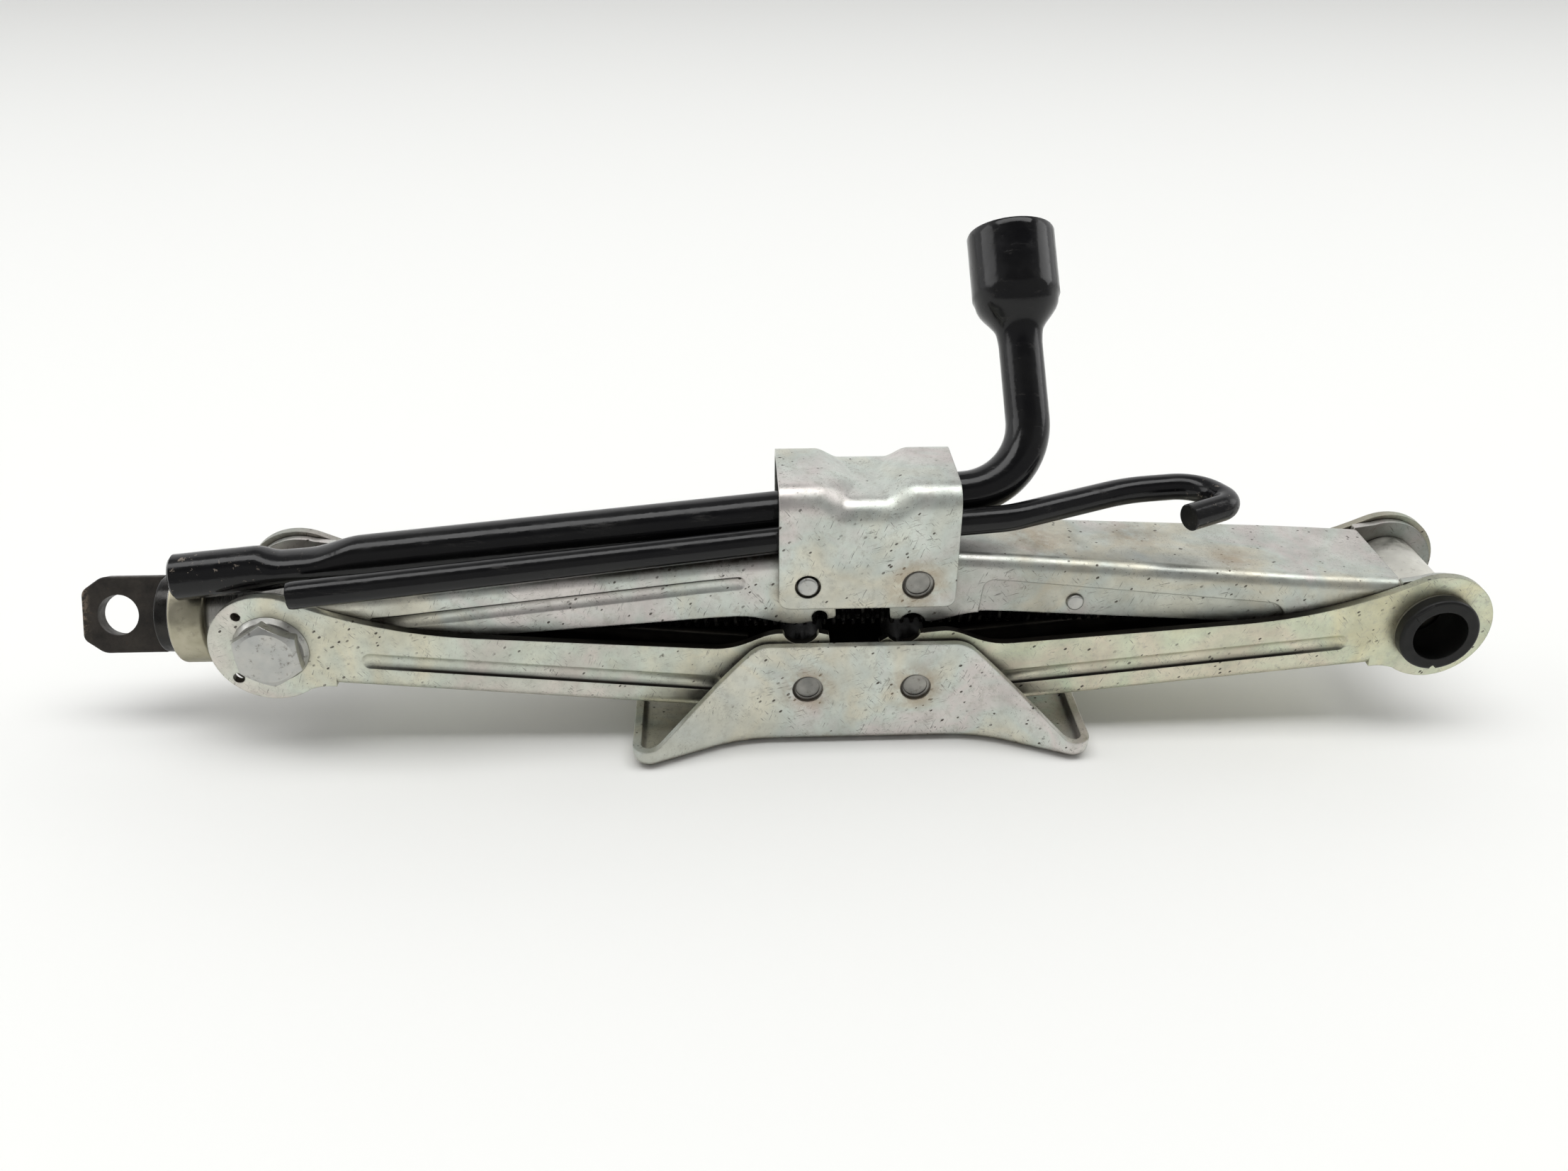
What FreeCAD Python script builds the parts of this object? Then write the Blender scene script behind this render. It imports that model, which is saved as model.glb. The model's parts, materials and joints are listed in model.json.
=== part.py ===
import FreeCAD, Part
import math
import os

# Scissor car jack, folded flat, with its wheel wrench and crank rod stowed in the saddle.
# Millimetres. Origin on the floor under the middle of the foot, +X towards the nut end,
# +Z up; the crank eye is at the -X end.
V = FreeCAD.Vector
X_AXIS = V(1, 0, 0)
Y_AXIS = V(0, 1, 0)
Z_AXIS = V(0, 0, 1)
FAR = 400.0

# --- linkage ---
ARM_LENGTH = 156.6
REST_ANGLE = 5.73
PIVOT_HALF = 16.15
FOOT_PIVOT_Z = 19.8
ARM_RISE = ARM_LENGTH * math.sin(math.radians(REST_ANGLE))
ARM_RUN = ARM_LENGTH * math.cos(math.radians(REST_ANGLE))
TRUNNION_X = PIVOT_HALF + ARM_RUN
TRUNNION_Z = FOOT_PIVOT_Z + ARM_RISE
SADDLE_PIVOT_Z = TRUNNION_Z + ARM_RISE

# --- sheet metal, half widths to the outer face ---
SHEET = 2.5
UPPER_SHEET = 2.4
FOOT_HALF = 24.7
LOWER_HALF = 21.4
UPPER_EAR_HALF = 18.6
UPPER_NECK_HALF = 15.0
SADDLE_HALF = 17.8
SADDLE_SHEET = 2.2
BEND_R = 4.0
RUNNING = 0.05

# --- gear ends of the arms ---
TEETH = 10
PITCH_ANGLE = 360.0 / TEETH
PRESSURE_ANGLE = 25.0
ADDENDUM = 1.95
DEDENDUM = 2.75
BACKLASH = 0.3
TIP_R = PIVOT_HALF + ADDENDUM
ROOT_R = PIVOT_HALF - DEDENDUM
HIGH_PHASE = 75.0
LOW_PHASE = 57.0
UPPER_CROWN_R = 8.6
NOTCH_R = 5.6

# --- lower arm flange, along the pivot line (u) and square to it (v) ---
LOWER_WEB_V = -12.0
LOWER_WEB_START = 16.0
LOWER_WEB_END = 138.6
LOWER_EDGE_V = -11.7
EAR_R = 17.25
EAR_OFFSET = 0.6
RIB_V = -2.0
RIB_START = 25.0
RIB_END = 131.0
RIB_WIDTH = 5.2
RIB_DEPTH = 1.1
EAR_HOLES = ((-8.05, 11.1, 1.4), (-11.0, -9.7, 1.7))

# --- upper arm ---
UPPER_WEB_V = 8.3
UPPER_WEB_SLOPE = 0.0315
UPPER_WEB_START = 2.0
UPPER_WEB_CORNER = 143.0
UPPER_WEB_END = 144.0
UPPER_EAR_R = 16.0
UPPER_FLARE_START = 30.0
UPPER_FLARE_END = 118.0
LEFT_TAIL = ((-UPPER_CROWN_R + 0.4, 0.0), (-7.4, -13.0), (4.5, -13.9), (5.5, 0.0))
LEFT_GAP = (-2.6, -12.4, 2.4)
RIGHT_TAIL = ((-UPPER_CROWN_R + 0.4, 0.0), (-6.1, -13.6), (6.5, -13.4), (6.5, 0.0))
RIGHT_GAP = (0.8, -15.4, 4.3)
GROOVE_V = 2.0
GROOVE_START = 18.0
GROOVE_END = 128.0
GROOVE_WIDTH = 4.4
GROOVE_DEPTH = 0.9
GROOVE_TILT = 0.6
PANEL_TOP_V = 2.4
PANEL_DEPTH = 0.8
ARM_RIVET_U = 48.3
ARM_RIVET_V = -3.3
ARM_RIVET_R = 2.5
ARM_RIVET_HEAD = 1.2

# --- foot ---
FOOT_LENGTH_HALF = 68.5
FOOT_TIP_HALF = 39.2
FOOT_BEND_X = 36.0
FOOT_BEND_R = 45.0
FOOT_CORNER_R = 5.0
FOOT_TOP_Z = 34.6
FOOT_TOP_HALF = 31.0
FOOT_LIP_Z = 6.2
FOOT_LIP_X = 61.5
FOOT_FLOOR_R = 4.2

# --- saddle ---
SADDLE_X = 1.4
SADDLE_LENGTH_HALF = 26.0
SADDLE_BOTTOM_Z = 43.6
SADDLE_TOP_Z = 81.6
SADDLE_BEND_R = 7.0
SADDLE_CORNER_R = 3.0
VALLEY_X = 1.1
VALLEY_DEPTH = 4.0
VALLEY_FRONT = (10.6, 15.0)
VALLEY_WAIST = (3.6, 9.0)
VALLEY_REAR = (9.6, 14.4)
VALLEY_WAIST_Y = -3.0

# --- pivots ---
FOOT_RIVET_R = 4.6
RIVET_RIM = 1.0
RIVET_DISH_DEPTH = 0.4
RIVET_SINK = 1.1
PIN_PROUD = 0.5
SLEEVE_R = 6.6
SPACER_HALF = LOWER_HALF - SHEET - 0.2
SADDLE_RIVET_R = 4.7
SADDLE_PIN_R = 3.1
PIN_DOME_R = 0.9
BOLT_SHANK_R = 6.0
BOLT_FLANGE_R = 10.9
BOLT_FLANGE_T = 1.5
BOLT_HEX_AF = 18.0
BOLT_HEX_H = 3.6
BOLT_CHAMFER_R = 8.1
BOLT_TURN = 3.0

# --- screw and thrust bearing, along X ---
SCREW_R = 7.0
THREAD_ROOT_R = 5.4
THREAD_PITCH = 3.0
THREAD_START = -72.0
THREAD_END = 177.0
SCREW_END = 180.0
COLLAR_X = -208.5
COLLAR_R = 11.6
BEARING_X = -203.5
BEARING_LENGTH = 9.0
RACE_R = 13.8
RACE_BORE = 7.5
RACE_T = 2.6
BALL_R = 1.85
BALL_CIRCLE_R = 10.8
BALL_COUNT = 14
CUP_R = 14.9
EYE_TURN = -25.0
EYE_WIDTH = 23.0
EYE_T = 5.1
EYE_TIP_X = -233.0
EYE_HOLE_X = -222.4
EYE_HOLE_R = 6.1
EYE_CHAMFER = (6.0, 4.2)
EYE_EDGE_R = 0.5

# --- trunnions, along Y ---
BLOCK_R = 11.5
BLOCK_HALF = 16.0
BOSS_R = 12.0
NUT_R = 11.0
NUT_JOURNAL_R = 10.3
NUT_RIM_R = 11.6
NUT_RIM_T = 1.1
NUT_BORE_R = 9.3
NUT_BORE_FLOOR = 9.6
NUT_THREAD_CLEARANCE = 0.3
BUSH_FLANGE_R = 11.9
BUSH_FLANGE_T = 3.8
BUSH_HOLE_R = 8.2
LATCH_ANGLE = -38.0
LATCH_HALF = 3.0
LATCH_LENGTH = 2.6
LATCH_RISE = 0.4

# --- stowed tools, each given by its left end and its direction per millimetre of X ---
WRENCH_R = 6.65
WRENCH_LEFT = (-199.0, -11.53, 54.27)
WRENCH_END_R = 6.75
WRENCH_SLOPE = (0.068, 0.068)
WRENCH_CORNER_X = 52.9
WRENCH_BEND_R = 22.0
WRENCH_UPRIGHT = (-0.041, 0.624, 0.78)
WRENCH_UPRIGHT_LENGTH = 80.0
SOCKET_R = 13.4
SOCKET_START = 58.0
SOCKET_TAPER_START = 45.5
SOCKET_HEX_AF = 17.0
SOCKET_DEPTH = 16.0
NECK_X = (-173.0, -169.0, -163.0, -148.0)
NECK_R = 5.4
ROD_R = 4.0
ROD_LEFT = (-162.5, -26.0, 55.9)
ROD_SLOPE_Z = 0.0535
ROD_CORNERS = ((-3.0, -8.8), (44.0, -6.6), (81.5, 6.5), (103.5, 7.2), (109.5, -7.0), (94.6, -13.4))
ROD_BEND_RADII = (150.0, 25.0, 45.0, 12.0, 4.6)


def box(x0, x1, y0, y1, z0, z1):
    return Part.makeBox(x1 - x0, y1 - y0, z1 - z0, V(x0, y0, z0))


def rod_y(radius, y0, y1, x, z):
    return Part.makeCylinder(radius, y1 - y0, V(x, y0, z), Y_AXIS)


def rod_x(radius, x0, x1, z=TRUNNION_Z):
    return Part.makeCylinder(radius, x1 - x0, V(x0, 0, z), X_AXIS)


def rounded_edges(points, radii, closed=True):
    """Straight runs through the points, with a tangent arc of the given radius at each corner."""
    count = len(points)
    starts = []
    ends = []
    for index in range(count):
        here = V(*points[index])
        radius = radii[index]
        if radius == 0:
            starts.append(here)
            ends.append(here)
            continue
        back = (V(*points[index - 1]) - here).normalize()
        ahead = (V(*points[(index + 1) % count]) - here).normalize()
        half = back.getAngle(ahead) / 2
        reach = radius / math.tan(half)
        starts.append(here + back * reach)
        ends.append(here + ahead * reach)
    edges = []
    for index in range(count):
        here = V(*points[index])
        if radii[index]:
            back = (V(*points[index - 1]) - here).normalize()
            ahead = (V(*points[(index + 1) % count]) - here).normalize()
            half = back.getAngle(ahead) / 2
            inward = (back + ahead).normalize()
            middle = here + inward * (radii[index] / math.sin(half) - radii[index])
            edges.append(Part.Arc(starts[index], middle, ends[index]).toShape())
        if index < count - 1 or closed:
            following = starts[(index + 1) % count]
            if (following - ends[index]).Length > 1e-6:
                edges.append(Part.LineSegment(ends[index], following).toShape())
    return edges


def side_profile(edges, half):
    """A flat outline in the XZ plane pushed out to both sides of the middle."""
    face = Part.Face(Part.Wire(Part.__sortEdges__(edges)))
    face.translate(V(0, -half, 0))
    return face.extrude(V(0, 2 * half, 0))


def side_polygon(points, radii, half):
    return side_profile(rounded_edges([(u, 0, v) for u, v in points], radii), half)


def circle_block(u, v, radius, half):
    return rod_y(radius, -half, half, u, v)


def pierce(shape, radius, points):
    for x, z in points:
        shape = shape.cut(rod_y(radius, -FAR, FAR, x, z))
    return shape


def channel_section(u, half, web_v, far_v, radius):
    """One U section: a closed outline with its two web corners rounded."""
    up = 1.0 if web_v > far_v else -1.0
    diagonal = radius * (1 - math.sqrt(0.5))
    corner = web_v - up * radius
    left = [V(u, -half, corner), V(u, -half + diagonal, web_v - up * diagonal), V(u, -half + radius, web_v)]
    right = [V(u, half - radius, web_v), V(u, half - diagonal, web_v - up * diagonal), V(u, half, corner)]
    edges = [
        Part.LineSegment(V(u, -half, far_v), left[0]).toShape(),
        Part.Arc(*left).toShape(),
        Part.LineSegment(left[2], right[0]).toShape(),
        Part.Arc(*right).toShape(),
        Part.LineSegment(right[2], V(u, half, far_v)).toShape(),
        Part.LineSegment(V(u, half, far_v), V(u, -half, far_v)).toShape(),
    ]
    return Part.Wire(edges)


def channel(stations, sheet, far_v):
    """Bent sheet channel through stations of (u, outer half width, outer web height)."""
    outer = []
    inner = []
    for u, half, web_v in stations:
        up = 1.0 if web_v > far_v else -1.0
        outer.append(channel_section(u, half, web_v, far_v, BEND_R))
        inner.append(channel_section(u, half - sheet, web_v - up * sheet, far_v, BEND_R - sheet))
    return Part.makeLoft(outer, True, True).cut(Part.makeLoft(inner, True, True))


def flange_band(half, sheet):
    """The two slabs of space that flat flanges of this half width fill."""
    near = box(-FAR, FAR, -half, -half + sheet, -FAR, FAR)
    far = box(-FAR, FAR, half - sheet, half, -FAR, FAR)
    return near.fuse(far)


def involute(radius, base):
    roll = math.sqrt(max((radius / base) ** 2 - 1, 0))
    return roll - math.atan(roll)


def tooth(angle, half):
    """One involute tooth; the angle turns from the mesh side (-u) towards +v."""
    base = PIVOT_HALF * math.cos(math.radians(PRESSURE_ANGLE))
    thickness = math.pi * PIVOT_HALF / TEETH - BACKLASH
    half_pitch_angle = thickness / (2 * PIVOT_HALF) + involute(PIVOT_HALF, base)
    steps = 5
    flank = [(ROOT_R - 1.0, half_pitch_angle)]
    for step in range(steps + 1):
        radius = base + (TIP_R - base) * step / steps
        if radius >= base:
            flank.append((radius, half_pitch_angle - involute(radius, base)))
    points = []
    for radius, spread in flank:
        points.append((radius, spread))
    for radius, spread in reversed(flank):
        points.append((radius, -spread))
    corners = []
    for radius, spread in points:
        turn = math.radians(180.0 - angle) + spread
        corners.append(V(radius * math.cos(turn), -half, radius * math.sin(turn)))
    face = Part.Face(Part.makePolygon(corners + corners[:1]))
    return face.extrude(V(0, 2 * half, 0))


def gear_end(phase, half):
    """Disc and teeth round an arm's inner pivot; the phase is the last tooth, at rest."""
    solid = circle_block(0, 0, ROOT_R, half)
    angles = [phase - step * PITCH_ANGLE for step in range(3)]
    for angle in angles:
        if angle > 0:
            solid = solid.fuse(tooth(angle + REST_ANGLE, half))
    return solid


def round_groove(points, width, depth):
    """A pressed groove of circular section along points on an outer face, on both flanges."""
    radius = (width ** 2 / 4 + depth ** 2) / (2 * depth)
    pieces = []
    for side in (-1, 1):
        line = [V(u, side * (y + radius - depth), v) for u, y, v in points]
        for start, end in zip(line, line[1:]):
            along = end - start
            pieces.append(Part.makeCylinder(radius, along.Length, start, along))
        for point in line:
            pieces.append(Part.makeSphere(radius, point))
    return pieces[0].fuse(pieces[1:])


def lower_flange_outline(half):
    ear_u = ARM_LENGTH + EAR_OFFSET
    top_u = 151.5
    top_v = math.sqrt(EAR_R ** 2 - (ear_u - top_u) ** 2)
    low_u = 146.0
    low_v = -math.sqrt(EAR_R ** 2 - (ear_u - low_u) ** 2)
    sweep = Part.BezierCurve()
    sweep.setPoles([V(98, 0, 8.2), V(118, 0, 7.7), V(136, 0, 10.8), V(top_u, 0, top_v)])
    hump = Part.BezierCurve()
    hump.setPoles([V(30, 0, 10.0), V(19, 0, 10.2), V(16, 0, 16.9), V(9, 0, 16.9)])
    edges = [
        Part.LineSegment(V(0, 0, LOWER_WEB_V), V(LOWER_WEB_END, 0, LOWER_WEB_V)).toShape(),
        Part.LineSegment(V(LOWER_WEB_END, 0, LOWER_WEB_V), V(LOWER_WEB_END, 0, LOWER_EDGE_V)).toShape(),
        Part.Arc(V(LOWER_WEB_END, 0, LOWER_EDGE_V), V(142.5, 0, -11.95), V(low_u, 0, low_v)).toShape(),
        Part.Arc(V(low_u, 0, low_v), V(ear_u + EAR_R, 0, 0), V(top_u, 0, top_v)).toShape(),
        sweep.toShape(),
        Part.LineSegment(V(98, 0, 8.2), V(30, 0, 10.0)).toShape(),
        hump.toShape(),
        Part.LineSegment(V(9, 0, 16.9), V(-3, 0, 16.9)).toShape(),
        Part.LineSegment(V(-3, 0, 16.9), V(0, 0, LOWER_WEB_V)).toShape(),
    ]
    return side_profile(edges, half)


def lower_arm(phase, ear_hole_r):
    """Channel open at the top, with gear flanges at the foot and plain ears at the trunnion."""
    stations = [(-30.0, LOWER_HALF, LOWER_WEB_V), (FAR, LOWER_HALF, LOWER_WEB_V)]
    folded = channel(stations, SHEET, 60.0)
    outline = lower_flange_outline(LOWER_HALF + 1).fuse(gear_end(phase, LOWER_HALF + 1))
    outline = outline.fuse(circle_block(0, 0, -LOWER_WEB_V, LOWER_HALF + 1))
    notch_angle = math.radians(180.0 - (phase + REST_ANGLE + PITCH_ANGLE / 2 + 3.0))
    notch_r = PIVOT_HALF + 3.6
    notch = circle_block(notch_r * math.cos(notch_angle), notch_r * math.sin(notch_angle), NOTCH_R, FAR)
    outline = outline.cut(notch)
    arm = folded.common(outline)
    inside = LOWER_HALF - SHEET
    arm = arm.cut(box(-40, LOWER_WEB_START, -inside, inside, -20, 20))
    arm = arm.cut(box(LOWER_WEB_END, FAR, -inside, inside, -40, 40))
    corners = flange_band(LOWER_HALF, SHEET).common(outline)
    for u0, u1 in ((-40, LOWER_WEB_START), (LOWER_WEB_END, FAR)):
        arm = arm.fuse(corners.common(box(u0, u1, -40, 40, -40, 40)))
    inset = RIB_WIDTH / 2
    rib = [(RIB_START + inset, LOWER_HALF, RIB_V), (RIB_END - inset, LOWER_HALF, RIB_V)]
    arm = arm.cut(round_groove(rib, RIB_WIDTH, RIB_DEPTH))
    arm = pierce(arm, FOOT_RIVET_R + RUNNING, [(0, 0)])
    arm = pierce(arm, ear_hole_r + RUNNING, [(ARM_LENGTH, 0)])
    return arm.removeSplitter()


def upper_web(u):
    return UPPER_WEB_V + UPPER_WEB_SLOPE * u


def upper_flange_outline(half):
    start_v = upper_web(-20)
    top_u = 150.0
    top_v = math.sqrt(UPPER_EAR_R ** 2 - (ARM_LENGTH - top_u) ** 2)
    low_u = 147.0
    low_v = -math.sqrt(UPPER_EAR_R ** 2 - (ARM_LENGTH - low_u) ** 2)
    under = Part.BezierCurve()
    under.setPoles([V(108, 0, -4.5), V(122, 0, -4.0), V(136, 0, -7.5), V(low_u, 0, low_v)])
    neck = Part.BezierCurve()
    neck.setPoles([V(24, 0, -8.9), V(15, 0, -9.2), V(12, 0, -12.4), V(5.5, 0, -13.6)])
    web_start = V(UPPER_WEB_START, 0, upper_web(UPPER_WEB_START))
    web_end = V(UPPER_WEB_CORNER, 0, upper_web(UPPER_WEB_CORNER))
    edges = [
        Part.LineSegment(V(0, 0, start_v), web_start).toShape(),
        Part.LineSegment(web_start, web_end).toShape(),
        Part.LineSegment(web_end, V(top_u, 0, top_v)).toShape(),
        Part.Arc(V(top_u, 0, top_v), V(ARM_LENGTH + UPPER_EAR_R, 0, 0), V(low_u, 0, low_v)).toShape(),
        under.toShape(),
        Part.LineSegment(V(108, 0, -4.5), V(24, 0, -8.9)).toShape(),
        neck.toShape(),
        Part.LineSegment(V(5.5, 0, -13.6), V(0, 0, -13.6)).toShape(),
        Part.LineSegment(V(0, 0, -13.6), V(0, 0, start_v)).toShape(),
    ]
    return side_profile(edges, half)


def upper_rear_end(phase):
    """Root disc and downward teeth; only the rear flange of each upper arm is geared."""
    gear = gear_end(phase, FAR).mirror(V(0, 0, 0), Z_AXIS)
    gear = gear.cut(box(UPPER_CROWN_R, FAR, -FAR, FAR, -FAR, FAR))
    return gear.common(box(-FAR, FAR, 0, FAR, -FAR, FAR))


def upper_front_end(tail, gap):
    """Plain front flange end: a low round crown that clears the stowed rod, and a notched tail."""
    end = circle_block(0, 0, UPPER_CROWN_R, FAR)
    end = end.fuse(side_polygon(tail, (0, 1.2, 0.8, 0), FAR))
    end = end.cut(circle_block(*gap, FAR))
    return end.common(box(-FAR, FAR, -FAR, 0, -FAR, FAR))


def upper_arm(phase, tail, gap, ear_hole_r, pivot_r, recess):
    """Channel open at the bottom that widens from the saddle to its trunnion ears."""
    stations = [
        (-30.0, UPPER_NECK_HALF, upper_web(-30.0)),
        (UPPER_FLARE_START, UPPER_NECK_HALF, upper_web(UPPER_FLARE_START)),
        (UPPER_FLARE_END, UPPER_EAR_HALF, upper_web(UPPER_FLARE_END)),
        (190.0, UPPER_EAR_HALF, upper_web(190.0)),
    ]
    folded = channel(stations, UPPER_SHEET, -60.0)
    front_gap = circle_block(*gap, FAR).common(box(-FAR, FAR, -FAR, 0, -FAR, FAR))
    outline = upper_flange_outline(FAR).cut(front_gap)
    outline = outline.fuse([upper_rear_end(phase), upper_front_end(tail, gap)])
    arm = folded.common(outline)
    arm = arm.cut(recess)
    neck_inside = UPPER_NECK_HALF - UPPER_SHEET
    ear_inside = UPPER_EAR_HALF - UPPER_SHEET
    arm = arm.cut(box(-40, UPPER_WEB_START, -neck_inside, neck_inside, -40, 40))
    arm = arm.cut(box(UPPER_WEB_END, FAR, -ear_inside, ear_inside, -40, 40))
    ears = flange_band(UPPER_EAR_HALF, UPPER_SHEET).common(outline)
    arm = arm.fuse(ears.common(box(UPPER_WEB_END, FAR, -40, 40, -40, 40)))
    gears = flange_band(UPPER_NECK_HALF, UPPER_SHEET).common(outline)
    arm = arm.fuse(gears.common(box(-40, UPPER_WEB_START, -40, 40, -40, 40)))
    arm = pierce(arm, pivot_r + RUNNING, [(0, 0)])
    arm = pierce(arm, ear_hole_r + RUNNING, [(ARM_LENGTH, 0)])
    return arm.removeSplitter()


def upper_half(u):
    """Outer half width of an upper arm."""
    share = (u - UPPER_FLARE_START) / (UPPER_FLARE_END - UPPER_FLARE_START)
    return UPPER_NECK_HALF + (UPPER_EAR_HALF - UPPER_NECK_HALF) * min(1.0, max(0.0, share))


def upper_groove():
    """Long pressed groove that follows the flange as it widens."""
    rise = math.tan(math.radians(GROOVE_TILT))
    start = GROOVE_START + GROOVE_WIDTH / 2
    points = []
    for u in (start, UPPER_FLARE_START, UPPER_FLARE_END, GROOVE_END - GROOVE_WIDTH / 2):
        points.append((u, upper_half(u), GROOVE_V + rise * (u - start)))
    return round_groove(points, GROOVE_WIDTH, GROOVE_DEPTH)


def upper_panel():
    """Recessed panel that runs out at the flange's lower edge."""
    points = [(20, -20), (20, PANEL_TOP_V - 0.4), (112, PANEL_TOP_V + 0.4), (112, -20)]
    shape = side_polygon(points, (0, 3.0, 6.0, 0), FAR)
    return follow_flare(shape, PANEL_DEPTH)


def follow_flare(shape, depth):
    """Keep only the skin of this depth on the outside of the widening channel."""
    sections = []
    for u, half in ((-30, UPPER_NECK_HALF), (UPPER_FLARE_START, UPPER_NECK_HALF),
                    (UPPER_FLARE_END, UPPER_EAR_HALF), (190, UPPER_EAR_HALF)):
        near = half - depth
        corners = [V(u, -near, -60), V(u, near, -60), V(u, near, 60), V(u, -near, 60)]
        sections.append(Part.makePolygon(corners + corners[:1]))
    core = Part.makeLoft(sections, True, True)
    return shape.cut(core)


def place_arm(arm, angle, pivot_z, left):
    arm.rotate(V(0, 0, 0), Y_AXIS, angle)
    arm.translate(V(PIVOT_HALF, 0, pivot_z))
    if left:
        arm = arm.mirror(V(0, 0, 0), X_AXIS)
    return arm


def ear_holes():
    """Two small holes beside the bolt head, through the front ear of the left lower arm."""
    holes = []
    for dx, dz, radius in EAR_HOLES:
        x = dx - TRUNNION_X
        holes.append(rod_y(radius, -LOWER_HALF - 1, -LOWER_HALF + SHEET + 1, x, TRUNNION_Z + dz))
    return holes[0].fuse(holes[1])


def foot_plan(inset, z):
    half = FOOT_HALF
    quarter = [(FOOT_BEND_X, half), (FOOT_LENGTH_HALF, FOOT_TIP_HALF)]
    points = []
    radii = []
    for sx, sy, order in ((1, 1, (0, 1)), (1, -1, (1, 0)), (-1, -1, (0, 1)), (-1, 1, (1, 0))):
        for index in order:
            x, y = quarter[index]
            points.append((sx * x, sy * y, z))
            radii.append(FOOT_BEND_R if index == 0 else FOOT_CORNER_R)
    wire = Part.Wire(Part.__sortEdges__(rounded_edges(points, radii)))
    if inset:
        wire = wire.makeOffset2D(-inset)
    return wire


def foot():
    """Pressed tray: flat floor, flared ends with a low lip, and two tall pivot flanges."""
    outer = Part.Face(foot_plan(0, 0)).extrude(V(0, 0, FOOT_TOP_Z))
    floor_edges = [edge for edge in outer.Edges if edge.BoundBox.ZMax < 0.01]
    outer = outer.makeFillet(FOOT_FLOOR_R, floor_edges)
    inner = Part.Face(foot_plan(SHEET, SHEET)).extrude(V(0, 0, FOOT_TOP_Z))
    inner_edges = [edge for edge in inner.Edges if edge.BoundBox.ZMax < SHEET + 0.01]
    inner = inner.makeFillet(FOOT_FLOOR_R - SHEET, inner_edges)
    tray = outer.cut(inner)
    points = [(-FOOT_LENGTH_HALF - 5, -5), (FOOT_LENGTH_HALF + 5, -5),
              (FOOT_LENGTH_HALF + 5, FOOT_LIP_Z), (FOOT_LIP_X, FOOT_LIP_Z),
              (FOOT_TOP_HALF, FOOT_TOP_Z), (-FOOT_TOP_HALF, FOOT_TOP_Z),
              (-FOOT_LIP_X, FOOT_LIP_Z), (-FOOT_LENGTH_HALF - 5, FOOT_LIP_Z)]
    tray = tray.common(side_polygon(points, (0, 0, 0, 5, 9, 9, 5, 0), 60))
    return pierce(tray, FOOT_RIVET_R, [(-PIVOT_HALF, FOOT_PIVOT_Z), (PIVOT_HALF, FOOT_PIVOT_Z)])


def saddle_block(inset, half, top):
    start = SADDLE_X - SADDLE_LENGTH_HALF
    end = SADDLE_X + SADDLE_LENGTH_HALF
    block = box(start, end, -half, half, SADDLE_BOTTOM_Z, top)
    edges = []
    for edge in block.Edges:
        bounds = edge.BoundBox
        if bounds.XLength > SADDLE_LENGTH_HALF and bounds.ZMin > top - 0.01:
            edges.append(edge)
    block = block.makeFillet(SADDLE_BEND_R - inset, edges)
    sections = []
    for y, (floor, mouth) in ((-SADDLE_HALF, VALLEY_FRONT), (VALLEY_WAIST_Y, VALLEY_WAIST),
                              (SADDLE_HALF, VALLEY_REAR)):
        grow = (mouth - floor) * 4
        corners = [V(VALLEY_X - floor - inset / 2, y, top - VALLEY_DEPTH),
                   V(VALLEY_X + floor + inset / 2, y, top - VALLEY_DEPTH),
                   V(VALLEY_X + floor + grow, y, top + 3 * VALLEY_DEPTH),
                   V(VALLEY_X - floor - grow, y, top + 3 * VALLEY_DEPTH)]
        sections.append(Part.makePolygon(corners + corners[:1]))
    return block.cut(Part.makeLoft(sections, True, True))


def saddle():
    """Inverted channel with a waisted valley pressed across its top."""
    shell = saddle_block(0, SADDLE_HALF, SADDLE_TOP_Z)
    inside = SADDLE_HALF - SADDLE_SHEET
    hollow = saddle_block(SADDLE_SHEET, inside, SADDLE_TOP_Z - SADDLE_SHEET)
    hollow = hollow.fuse(box(-FAR, FAR, -inside, inside, 0, SADDLE_PIVOT_Z))
    shell = shell.cut(hollow)
    low = SADDLE_BOTTOM_Z
    high = SADDLE_TOP_Z + 1
    start = SADDLE_X - SADDLE_LENGTH_HALF
    end = SADDLE_X + SADDLE_LENGTH_HALF
    points = [(start, low), (end, low), (end, high), (start, high)]
    shell = shell.common(side_polygon(points, (SADDLE_CORNER_R, SADDLE_CORNER_R, 0, 0), 40))
    shell = pierce(shell, SADDLE_PIN_R, [(-PIVOT_HALF, SADDLE_PIVOT_Z)])
    return pierce(shell, SADDLE_RIVET_R, [(PIVOT_HALF, SADDLE_PIVOT_Z)])


def dished_rivet(radius, x, z, half):
    """Pin through both walls, set just below the faces, each end dished."""
    pin = rod_y(radius, -half, half, x, z)
    for side in (-1, 1):
        y0 = side * half if side < 0 else half - RIVET_DISH_DEPTH
        pin = pin.cut(rod_y(radius - RIVET_RIM, y0, y0 + RIVET_DISH_DEPTH, x, z))
    return pin


def domed_pin(radius, x, z, half):
    pin = rod_y(radius, -half, half, x, z)
    rims = []
    for edge in pin.Edges:
        if edge.Length > radius * 6 and abs(abs(edge.CenterOfMass.y) - half) < 0.01:
            rims.append(edge)
    return pin.makeFillet(PIN_DOME_R, rims)


def spacer(radius, bore, half, x, z):
    return rod_y(radius, -half, half, x, z).cut(rod_y(bore, -half, half, x, z))


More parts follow.
